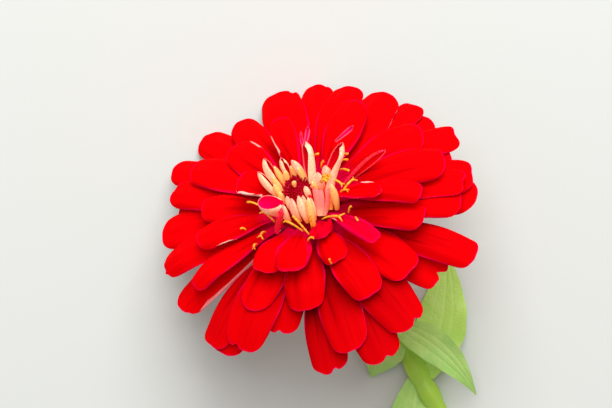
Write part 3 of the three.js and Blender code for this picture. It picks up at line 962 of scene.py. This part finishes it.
def build_florets(settings, material):
    bud = lathe("floret_bud", BUD_PROFILE, BUD_SIDES, material)
    nodes = Nodes("disc_florets", {
        "Count": settings.floret_count, "Spacing": settings.floret_spacing,
        "Dome Radius": settings.dome_radius, "Dome Top": DOME_TOP * MM, "Bud": bud, "Material": material})
    size = nodes.sizes
    index = nodes.node("GeometryNodeInputIndex")
    out = nodes.math("SQRT", index + 0.5) * size["Spacing"]
    angle = index * GOLDEN_ANGLE
    x, y = out * nodes.math("COSINE", angle), out * nodes.math("SINE", angle)
    points = nodes.points(size["Count"], x, y, size["Dome Top"] - out * out / (size["Dome Radius"] * 2.0))
    outward = nodes.vector(x, y, size["Dome Radius"])
    rotation = nodes.node("FunctionNodeAlignRotationToVector", {"axis": "Z"}, {"Vector": outward})
    florets = nodes.build(new_piece("floret_host", [], [], material), points, nodes.shape_of("Bud"), rotation,
                          nodes.map(index, 0.0, size["Count"], *BUD_SCALES))
    bpy.data.objects.remove(bud)
    return bloom.move(florets, DISC_PLACE)


class ZINNIA_OT_disc(bpy.types.Operator):
    """Set the dome of disc florets on the cone"""
    bl_idname = "zinnia.disc"
    bl_label = "Disc"

    def execute(self, context):
        settings = context.scene.zinnia_heart
        material = disc_material(settings)
        dome = lathe("disc_cone", DOME_PROFILE, ROUND_SIDES, material)
        finish_piece(bloom.move(dome), "disc", "receptacle")
        finish_piece(build_florets(settings, material), "disc")
        return {"FINISHED"}


# Stigmas: foot and end as [across, far, up] in millimetres, and the length of the fork.
STIGMAS = (
    ((13.8, 3.7, 3.0), (15.8, 1.8, 5.0), 0), ((13.1, 2.5, 2.6), (15.0, 0.5, 4.4), 0),
    ((11.7, 0.6, 2.4), (13.9, -2.4, 3.6), 0), ((8.6, -2.2, 4.0), (10.4, -5.8, 4.5), 0.8),
    ((9.1, -8.0, 1.5), (13.5, -6.7, 4.8), 1.2), ((9.1, -7.2, 1.5), (10.9, -8.9, 2.6), 0.6),
    ((1.5, -11.0, 1.5), (5.6, -13.8, 2.8), 1.9), ((8.4, -12.6, 0.5), (10.0, -12.5, 2.4), 0),
    ((9.5, -15.2, 0.8), (9.6, -18.2, 2.0), 0), ((-4.6, -14.2, 0), (-3.1, -14.5, 1.0), 0.5),
    ((-3.5, -12.4, 0.2), (-5.0, -7.0, 3.5), 0), ((-4.5, -10.3, 0), (-7.3, -6.6, 2.6), 0.8),
    ((-10.0, -3.1, 0.2), (-11.3, -0.1, 2.4), 1.3), ((-11.5, 4.0, 0.5), (-14.1, 6.3, 1.8), 0),
    ((-13.4, -4.1, -0.5), (-14.9, -5.3, 0.8), 1.2), ((-17.0, -6.3, -0.6), (-18.1, -7.5, 0.3), 0.5),
    ((7.0, 7.2, 4.0), (8.9, 5.8, 6.0), 0), ((7.7, 2.4, 4.5), (9.2, 2.4, 6.5), 0),
    ((5.7, -3.9, 7.0), (8.1, -5.1, 8.4), 0.8), ((6.5, -3.3, 7.0), (7.6, -4.4, 8.8), 0.5),
    ((5.9, -4.6, 7.2), (7.1, -5.5, 8.6), 0.8), ((6.9, -3.7, 7.2), (8.4, -4.6, 8.8), 0.6),
    ((-2.0, -10.9, 0.0), (-0.7, -9.1, 3.4), 0), ((-1.9, -23.2, -1.9), (-1.8, -22.6, -0.6), 0),
    ((-17.8, -0.2, -0.5), (-18.9, -0.0, 0.6), 0),
)
CLEAR = 0.35                # how far a thread stays over the petals under it
STIGMA_RADIUS = 0.3
STIGMA_SIDES = 6
STIGMA_RISE = 1.2           # how far a thread bends over
ASKEW = (0.3, 0.5, 0.8)     # a direction that no thread runs along
FORK_ASKEW = (0.2, 0.1, 1.0)    # the arms of a fork spread across this


def stigma_threads(foot, end, fork):
    """A thread that bends over at its top and splits in two."""
    foot, end = np.array(foot, float), np.array(end, float)
    for point, over in ((foot, -CLEAR), (end, CLEAR)):
        point[2] = max(point[2], laid["pile"].height(*point[:2]) + over)
    rise = np.array((0.0, 0.0, STIGMA_RISE))
    t = np.linspace(0, 1, 7)[:, None]
    stalk = foot * (1 - t) ** 2 + ((foot + end) / 2 + rise) * 2 * t * (1 - t) + end * t ** 2
    yield stalk, STIGMA_RADIUS * np.linspace(0.8, 1.1, 7)
    if fork:
        ahead = unit(stalk[-1] - stalk[-2])
        aside = unit(np.cross(ahead, FORK_ASKEW))
        for sign in (1, -1):
            t = np.linspace(0, 1, 5)[:, None]
            arm = end + fork * (ahead * t * 0.7 + sign * aside * t ** 1.3 * 0.8) - rise * 0.3 * t ** 2
            yield arm, STIGMA_RADIUS * np.linspace(1.0, 0.55, 5)


def stigma_material(settings):
    shader = Shader("stigma_yellow")
    grain = shader.grain(1500.0, 2.0)
    tint = shader.paint(settings.yellow, (shader.ramp(grain, 0.4, 0.65), settings.orange))
    return shader.finish(tint, grain, (0.4, 0.3), (0.6, 0.1))


class ZINNIA_OT_stigmas(bpy.types.Operator):
    """Grow the forked threads at the feet of the quills and petals"""
    bl_idname = "zinnia.stigmas"
    bl_label = "Stigmas"

    def execute(self, context):
        material = stigma_material(context.scene.zinnia_heart)
        vertices, faces = [], []
        for spec in STIGMAS:
            for points, radii in stigma_threads(*spec):
                more, sides = tube(rings(points, radii[:, None], STIGMA_SIDES, ASKEW))
                faces += [tuple(i + len(vertices) for i in side) for side in sides]
                vertices += more.tolist()
        finish_piece(new_piece("stigmas", bloom.world(vertices), faces, material), "quill")
        return {"FINISHED"}


# --- bract cup

CUP_PROFILE = ((0, -19.0), (2.6, -19.0), (4.6, -18.4), (7.2, -17.0), (9.2, -15.0), (10.0, -12.6),
               (9.8, -11.0), (8.4, -11.4), (7.6, -12.8), (0, -13.0))
# Radius and height of the lowest ring of bracts, and what they gain up to the rim, in millimetres.
CUP_FOOT, CUP_SPREAD = 3.0, 7.1
CUP_BASE, CUP_RISE = -18.9, 3.5
BRACT_LENGTH, BRACT_WIDTH, BRACT_THICKNESS = 4.9, 4.6, 0.35
BRACT_OUTLINE = ((0, 0.8), (0.4, 1.0), (0.75, 0.95), (1, 0.7))
BRACT_STEPS = 7
BRACT_ROUNDING = 0.34       # how much shorter a bract is at its sides, as a share of its length
BRACT_CURVES = (0.12, 0.045)    # of a bract across and along: its fall back at one millimetre
BRACT_PROUD = 0.25          # how far a bract's middle stands out at its foot, in millimetres
BRACT_LEANS = (math.radians(78), math.radians(6))   # of the lowest ring and the topmost
BRACT_SCALES = (0.72, 1.0)
BRACT_WOBBLE = 0.12         # how far a bract may stand off its place in the ring, in steps


def build_bract(material):
    """One bract, growing up from the origin with its outer face towards -Y."""
    u = np.linspace(0, 1, BRACT_STEPS)[:, None]
    v = np.sin(np.linspace(1, -1, BRACT_STEPS) * QUARTER)[None, :]
    half = curve(BRACT_OUTLINE, u) * BRACT_WIDTH / 2
    side = v * half
    height = u * (1 - BRACT_ROUNDING * v ** 2) * BRACT_LENGTH
    back = BRACT_CURVES[0] * side ** 2 + BRACT_CURVES[1] * height ** 2 - BRACT_PROUD
    middle = np.stack((side, back, height + 0 * side), -1)
    return skin("bract", middle, BRACT_THICKNESS, material, side, height, inset(u, v, half, BRACT_LENGTH))


def bract_material(settings):
    shader = Shader("bract_green")
    rim, along = shader.attributes("rim", "along")
    grain = shader.grain(700.0, 4.0)
    green = shader.paint(settings.bract_green, (shader.ramp(grain, 0.35, 0.7), settings.stem_pale),
                         (shader.ramp(along, 0.5, 0.0) * 0.4, settings.stem_pale),
                         (shader.ramp(grain * 0.5 + rim, 0.95, 0.5), settings.bract_rim))
    return shader.finish(green, grain, (0.4, 0.3), (0.5, 0.2))


def cup_material(settings):
    shader = Shader("cup_green")
    grain = shader.grain(500.0, 4.0)
    green = shader.paint(settings.bract_green, (shader.ramp(grain, 0.3, 0.7), settings.stem_green))
    return shader.finish(green, grain, (0.45, 0.2), (0.4, 0.2))


def build_bracts(settings, material):
    bract = build_bract(material)
    nodes = Nodes("bracts", {
        "Rings": settings.bract_rings, "Per Ring": settings.bracts_per_ring, "Foot Radius": CUP_FOOT * MM,
        "Spread": CUP_SPREAD * MM, "Foot Height": CUP_BASE * MM, "Rise": CUP_RISE * MM, "Bract": bract,
        "Material": material})
    size = nodes.sizes
    index = nodes.node("GeometryNodeInputIndex")
    ring = nodes.math("FLOOR", index / size["Per Ring"])
    up = ring / (size["Rings"] - 1.0)
    bend = up * QUARTER
    out = size["Foot Radius"] + size["Spread"] * nodes.math("SINE", bend)
    height = size["Foot Height"] + size["Rise"] * (1.0 - nodes.math("COSINE", bend))
    wobble = nodes.random(-BRACT_WOBBLE, BRACT_WOBBLE, 5, ID=index)
    angle = (index + ring * 0.5 + wobble) * (2 * math.pi / size["Per Ring"])
    points = nodes.points(size["Rings"] * size["Per Ring"], out * nodes.math("SINE", angle),
                          out * nodes.math("COSINE", angle) * -1.0, height)
    bracts = nodes.build(new_piece("bract_host", [], [], material), points, nodes.shape_of("Bract"),
                         nodes.vector(nodes.map(up, 0.0, 1.0, *BRACT_LEANS), 0.0, angle),
                         nodes.map(up, 0.0, 1.0, *BRACT_SCALES))
    bpy.data.objects.remove(bract)
    return bloom.move(bracts)


class ZINNIA_OT_cup(bpy.types.Operator):
    """Cover the cup under the petals with overlapping bracts"""
    bl_idname = "zinnia.cup"
    bl_label = "Bract cup"

    def execute(self, context):
        settings = context.scene.zinnia_greens
        cup = lathe("bract_cup", CUP_PROFILE, ROUND_SIDES, cup_material(settings))
        finish_piece(bloom.move(cup), "bract", "involucre")
        finish_piece(build_bracts(settings, bract_material(settings)), "bract")
        return {"FINISHED"}


# --- stem

STEM_SIDES = 30
STEM_STEPS = 150
STEM_EASINGS = 12
FIRST_RING = 0.01           # how far from the cut end the solid's first ring may lie, in millimetres
NODE_SWELLING = 0.22        # what the stem gains in radius where leaves leave it, as a share
NODE_REACH = 3.2            # half the length of that swelling, in millimetres
FLARE, FLARE_REACH = 0.25, 6    # what the stem gains in radius under the bloom, and over how many millimetres
STEM_TWIST = 0.012          # turn of the furrows in radians for each millimetre
# Rings of the cut end, from the pith out: each one's share of the radius and its depth in millimetres.
CUT_END = ((0.3, 0.5), (0.62, 0.35), (0.8, 0.1), (0.95, 0.0))
PITH_RINGS = 3
# Heights over the ground where hairs begin and where they are full, in millimetres.
HAIRLESS, HAIRY = 0.1, 1.2
HAIR_SLIMNESS = 14          # a hair's length for its radius


def stem_line():
    """The middle of the stem's solid, from its cut end up to the cup, and its radius, in millimetres."""
    points, index = np.unique(raw_vertices("stem"), axis=0, return_inverse=True)
    corners = read(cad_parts["stem"].data.loops, "vertex_index", np.int32)
    triangles = index.ravel()[corners].reshape(-1, 3)
    reached = points[:, 1] < points[:, 1].min() + FIRST_RING
    radius = np.ptp(points[reached][:, 0]) / 2
    line = [points[reached].mean(0)]
    while not reached.all():
        fresh = np.zeros(len(points), bool)
        fresh[triangles[reached[triangles].any(1)]] = True
        fresh &= ~reached
        line.append(points[fresh].mean(0))
        reached |= fresh
    return np.array(line), radius


def even_line(line):
    """The line resampled at even steps, with its corners eased, and the length walked at each step."""
    walked = np.append(0, np.cumsum(np.linalg.norm(np.diff(line, axis=0), axis=1)))
    at = np.linspace(0, walked[-1], STEM_STEPS)
    even = np.stack([np.interp(at, walked, line[:, k]) for k in range(3)], 1)
    for _ in range(STEM_EASINGS):
        even[1:-1] = (even[:-2] + even[2:]) / 2 * 0.5 + even[1:-1] * 0.5
    return even, at


def leaf_feet(line):
    """Where on the stem each leaf grows: the line's nearest point to the leaf's solid."""
    feet = {}
    for name in sorted(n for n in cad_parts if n.startswith("leaf_")):
        apart = np.linalg.norm(line[:, None, :2] - vertices_of(name)[None, :, :2], axis=2)
        feet[name] = line[apart.min(1).argmin()]
    return feet


def build_stem(settings, material):
    solid_line, radius = stem_line()
    line, at = even_line(solid_line)
    swelling = np.zeros(STEM_STEPS)
    for foot in leaf_feet(line).values():
        place = at[np.linalg.norm(line - foot, axis=1).argmin()]
        swelling = np.maximum(swelling, NODE_SWELLING * ridge(at - place, NODE_REACH))
    flare = FLARE * ease((at - at[-1] + FLARE_REACH) / FLARE_REACH)
    angles = round_angles(STEM_SIDES)
    twist = at[:, None] * STEM_TWIST
    depth = settings.rib_depth / MM
    furrows = depth * (np.cos(5 * angles + twist) + 0.5 * np.cos(9 * angles - 2 * twist))
    radii = radius * (1 + swelling + flare)[:, None] + furrows
    line[:, 2] += radius * swelling + 1.5 * depth
    grid = rings(line, radii, STEM_SIDES, (0.0, 0.0, 1.0))
    cut = [line[0] + (0, deep, 0) + (grid[0] - line[0]) * out for out, deep in CUT_END]
    grid = np.concatenate((cut, grid[1:]))
    stem = new_piece("stem_stalk", *tube(grid), material)
    stem.data.set_sharp_from_angle(angle=SHARP_RIM)
    pith = np.zeros(grid.shape[:2])
    pith[:PITH_RINGS] = 1.0
    add_attributes(stem, pith=pith)
    along = np.concatenate((np.zeros(PITH_RINGS), at))[:, None] + 0 * angles
    add_blade_map(stem, np.ravel(0 * along + angles * radius), np.ravel(along))
    return stem


def stem_material(settings):
    shader = Shader("stem_green")
    streaks = shader.fibres(60.0, 5.0, 4.0)
    mottle = shader.grain(160.0, 3.0)
    pith, = shader.attributes("pith")
    green = shader.paint(settings.stem_green, (shader.ramp(streaks, 0.4, 0.7) * 0.35, settings.stem_pale),
                         (shader.ramp(mottle, 0.5, 0.75) * 0.3, settings.leaf_green),
                         (pith * 0.9, settings.stem_pale))
    return shader.finish(green, mottle, (0.35, 0.25), (0.5, 0.2), raised=streaks)


def hair_material(settings):
    shader = Shader("hair_pale")
    tint = shader.paint(settings.stem_pale, (shader.grain(800.0, 2.0), settings.leaf_pale))
    shader.set(Base_Color=tint, Roughness=0.6)
    return shader.material


def build_hairs(stem, settings, material):
    """Stiff short hairs all over a copy of the stem."""
    host = place_object("hair_host", stem.data.copy())
    nodes = Nodes("stem_hairs", {
        "Density": settings.hair_density, "Length": settings.hair_length,
        "Radius": settings.hair_length / HAIR_SLIMNESS, "Seed": 11, "Material": material})
    size = nodes.sizes
    spread = nodes.node("GeometryNodeDistributePointsOnFaces", {"distribute_method": "RANDOM"}, {
        "Mesh": size["Geometry"], "Density": size["Density"], "Seed": size["Seed"]})
    hair = nodes.node("GeometryNodeMeshCone", {"fill_type": "NGON"}, {
        "Vertices": 3, "Side Segments": 2, "Radius Top": 0.0, "Radius Bottom": size["Radius"],
        "Depth": size["Length"]})
    turned = Term(nodes, spread.socket.node.outputs["Rotation"])
    place = nodes.node("GeometryNodeInputPosition")
    height = nodes.node("ShaderNodeSeparateXYZ", inputs={0: place}, output=2)
    grown = nodes.map(height, HAIRLESS * MM, HAIRY * MM, 0.0, 1.0)
    return nodes.build(host, spread, hair, turned, nodes.random(0.5, 1.2, 3) * grown)


class ZINNIA_OT_stem(bpy.types.Operator):
    """Grow the cut stem with its furrows, leaf nodes and hairs"""
    bl_idname = "zinnia.stem"
    bl_label = "Stem"

    def execute(self, context):
        settings = context.scene.zinnia_greens
        stem = build_stem(settings, stem_material(settings))
        hairs = build_hairs(stem, settings, hair_material(settings))
        finish_piece(stem, "stem", "stem")
        finish_piece(hairs, "stem")
        return {"FINISHED"}


# --- leaves

LEAF_ROWS, LEAF_COLUMNS = 84, 40
LEAF_OUTLINE = ((0, 0.42), (0.08, 0.62), (0.2, 0.88), (0.34, 1.0), (0.5, 0.93), (0.68, 0.68), (0.85, 0.34),
                (1, 0.03))
LEAF_THICKNESS = 0.32
SIDE_VEIN_SPACING = 3.6     # millimetres between the side veins along the midrib
NERVE_PLACE = 0.42          # of a side nerve, as a share of half the leaf's width
VEIN_DEPTH, VEIN_BODY = 0.26, 0.175     # how far veins lie below the face and how much they thicken the leaf
LEAF_LIFT = 0.12            # how far the face between the veins stands over the solid's middle
MARGIN_WAVE = 0.5           # height of the waves along a leaf's margin
# A leaf's thickness at its margin, as a share, and how far in it is thinner.
THIN_MARGIN, MARGIN_REACH = 0.5, 0.8
LEAF_TONES = {"leaf_upper_right": 0.0, "leaf_upper_left": 0.0,
              "leaf_lower_right": 0.8, "leaf_lower_left": 0.1}


def ridge(distance, width):
    return np.exp(-(distance / width) ** 2)


def leaf_veins(u, side, half, length_mm):
    """How much of a vein each point is, from 0 to 1: a midrib, two long side nerves and slanting branches."""
    v = side / half
    midrib = ridge(side, 0.5 * (1 - 0.6 * u) + 0.1)
    nerves = 0.8 * ridge((np.abs(v) - NERVE_PLACE) * half, 0.3) * ease((1 - u) / 0.25)
    slant = (u * length_mm - 0.75 * np.abs(side)) / SIDE_VEIN_SPACING
    branch = 0.6 * ridge((slant - np.round(slant)) * SIDE_VEIN_SPACING, 0.26) * (1 - np.abs(v)) ** 0.4
    return np.maximum.reduce((midrib, nerves, branch))


def build_leaf(name, foot, material, seed):
    rng = np.random.default_rng(seed)
    shape = BladeShape(vertices_of(name), foot[:2])
    clasp = np.linalg.norm(shape.seat - foot[:2]) / shape.length
    u = np.linspace(-clasp, 1, LEAF_ROWS)[:, None]
    v = np.linspace(-1, 1, LEAF_COLUMNS)[None, :]
    out = (u + clasp) / (1 + clasp)
    half = curve(LEAF_OUTLINE, out) * shape.width / 2
    half = half * (1 + 0.02 * np.sin(out * 31 + rng.uniform(0, 6)))
    side = v * half
    points = shape.surface(u + 0 * v, side)
    points[..., 2] = shape.surface(np.clip(u, 0, 1) + 0 * v, side)[..., 2]
    veins = leaf_veins(out, side, half, shape.length)
    phase = out * rng.uniform(14, 18) + rng.uniform(0, 6) + 1.5 * np.sign(v)
    waves = MARGIN_WAVE * np.sin(phase) * np.abs(v) ** 3
    points[..., 2] += LEAF_LIFT - VEIN_DEPTH * veins + waves * ease(out / 0.3) * half / half.max()
    points[..., 2] = np.maximum(points[..., 2], LEAF_THICKNESS)
    rim = inset(out, v, half, shape.length)
    body = THIN_MARGIN + (1 - THIN_MARGIN) * ease(rim / MARGIN_REACH)
    thickness = LEAF_THICKNESS * body + VEIN_BODY * veins
    leaf = skin(f"{name}_blade", points, thickness, material, side, (out + 0 * v) * shape.length, rim)
    add_attributes(leaf, vein=twice(veins), tone=LEAF_TONES[name])
    return finish_piece(leaf, "leaf", name)


def leaf_material(settings):
    shader = Shader("leaf_green")
    side, vein, tone = shader.attributes("side", "vein", "tone")
    mottle = shader.fibres(28.0, 28.0, 5.0)
    green = shader.paint(settings.leaf_green, (tone, settings.leaf_young),
                         (shader.ramp(mottle, 0.35, 0.7) * 0.4, settings.leaf_pale),
                         (shader.ramp(vein, 0.35, 0.95) * 0.6, settings.leaf_pale))
    under = shader.paint(settings.leaf_pale, (shader.ramp(vein, 0.3, 0.9) * 0.5, settings.stem_pale))
    tint = shader.paint(under, (shader.ramp(side, 0.4, 0.6), green))
    return shader.finish(tint, mottle, (0.4, 0.3), (0.6, 0.25), 0.35, shader.fibres(170.0, 170.0, 3.0))


class ZINNIA_OT_leaves(bpy.types.Operator):
    """Spread the two pairs of leaves"""
    bl_idname = "zinnia.leaves"
    bl_label = "Leaves"

    def execute(self, context):
        material = leaf_material(context.scene.zinnia_greens)
        line, _ = even_line(stem_line()[0])
        for seed, (name, foot) in enumerate(leaf_feet(line).items()):
            build_leaf(name, foot, material, seed)
        return {"FINISHED"}


# --- stage

BLOOM_PIXEL = (304, 197)    # where the foot of the quills is seen, in a frame of FRAME_PIXELS
FRAME_PIXELS = (612, 408)
SENSOR = 36.0
FLOOR_HALF = 4.0            # metres
LIGHT_SIZE = 0.8
KEY_DISTANCE, TOP_DISTANCE = 0.9, 1.4


def floor_material(settings):
    shader = Shader("floor_pale")
    darker = tuple(c * 0.9 for c in settings.floor)
    tint = shader.paint(settings.floor, (shader.grain(40.0, 3.0) * 0.1, darker))
    shader.set(Base_Color=tint, Roughness=0.9, Specular_IOR_Level=0.1)
    return shader.material


def add_camera(settings):
    data = bpy.data.cameras.new("camera")
    data.sensor_width = SENSOR
    data.lens = SENSOR * settings.distance / settings.view_width
    camera = place_object("camera", data)
    pixel = settings.view_width / FRAME_PIXELS[0]
    right = Vector((math.cos(settings.roll), math.sin(settings.roll), 0))
    up = Vector((-math.sin(settings.roll), math.cos(settings.roll), 0))
    centre = Vector(bloom.origin * MM)
    centre += right * (FRAME_PIXELS[0] / 2 - BLOOM_PIXEL[0]) * pixel
    centre -= up * (FRAME_PIXELS[1] / 2 - BLOOM_PIXEL[1]) * pixel
    camera.location = centre + Vector((0, 0, settings.distance))
    camera.rotation_euler = (0, 0, settings.roll)
    bpy.context.scene.camera = camera


def add_light(name, power, distance, height, heading):
    """A soft light that shines on the bloom from this distance, height and heading."""
    data = bpy.data.lights.new(name, "AREA")
    data.energy, data.size = power, LIGHT_SIZE
    light = place_object(name, data)
    level = math.cos(height)
    towards = Vector((level * math.cos(heading), level * math.sin(heading), math.sin(height)))
    light.location = Vector(bloom.origin * MM) + towards * distance
    light.rotation_euler = (-towards).to_track_quat("-Z", "Y").to_euler()


class ZINNIA_OT_stage(bpy.types.Operator):
    """Set the floor, the lights and the camera"""
    bl_idname = "zinnia.stage"
    bl_label = "Stage"

    def execute(self, context):
        settings = context.scene.zinnia_stage
        half = FLOOR_HALF / MM
        corners = [(-half, -half, 0), (half, -half, 0), (half, half, 0), (-half, half, 0)]
        floor = new_piece("floor", corners, [(0, 1, 2, 3)], floor_material(settings))
        floor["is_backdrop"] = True
        add_camera(settings)
        add_light("key", settings.key_power, KEY_DISTANCE, settings.key_height, settings.key_heading)
        add_light("top", settings.top_power, TOP_DISTANCE, settings.top_height, settings.top_heading)
        world = bpy.data.worlds.new("even_light")
        world.use_nodes = True
        background = world.node_tree.nodes["Background"].inputs
        background["Color"].default_value = (1.0, 1.0, 1.0, 1.0)
        background["Strength"].default_value = settings.sky
        context.scene.world = world
        context.scene.view_settings.view_transform = "Standard"
        return {"FINISHED"}


# --- panel and run

STEPS = (ZINNIA_OT_stage, ZINNIA_OT_petals, ZINNIA_OT_quills, ZINNIA_OT_disc, ZINNIA_OT_stigmas,
         ZINNIA_OT_cup, ZINNIA_OT_stem, ZINNIA_OT_leaves)
SETTINGS = {"zinnia_petals": ZinniaPetalSettings, "zinnia_heart": ZinniaHeartSettings,
            "zinnia_greens": ZinniaGreenSettings, "zinnia_stage": ZinniaStageSettings}


class ZINNIA_PT_panel(bpy.types.Panel):
    bl_label = "Zinnia"
    bl_idname = "ZINNIA_PT_panel"
    bl_space_type = "VIEW_3D"
    bl_region_type = "UI"
    bl_category = "Zinnia"

    def draw(self, context):
        for name, kind in SETTINGS.items():
            box = self.layout.box()
            for label in kind.__annotations__:
                box.prop(getattr(context.scene, name), label)
        for step in STEPS:
            self.layout.operator(step.bl_idname)


CLASSES = (*SETTINGS.values(), *STEPS, ZINNIA_PT_panel)


def register():
    for item in CLASSES:
        bpy.utils.register_class(item)
    for name, kind in SETTINGS.items():
        setattr(bpy.types.Scene, name, bpy.props.PointerProperty(type=kind))


def unregister():
    for name in SETTINGS:
        delattr(bpy.types.Scene, name)
    for item in reversed(CLASSES):
        bpy.utils.unregister_class(item)


def main():
    register()
    for step in STEPS:
        group, name = step.bl_idname.split(".")
        getattr(getattr(bpy.ops, group), name)()
    boxes = {"cad": CAD_BOX, "visual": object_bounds()}
    {key: [list(corner) for corner in box] for key, box in boxes.items()}


if __name__ == "__main__":
    main()
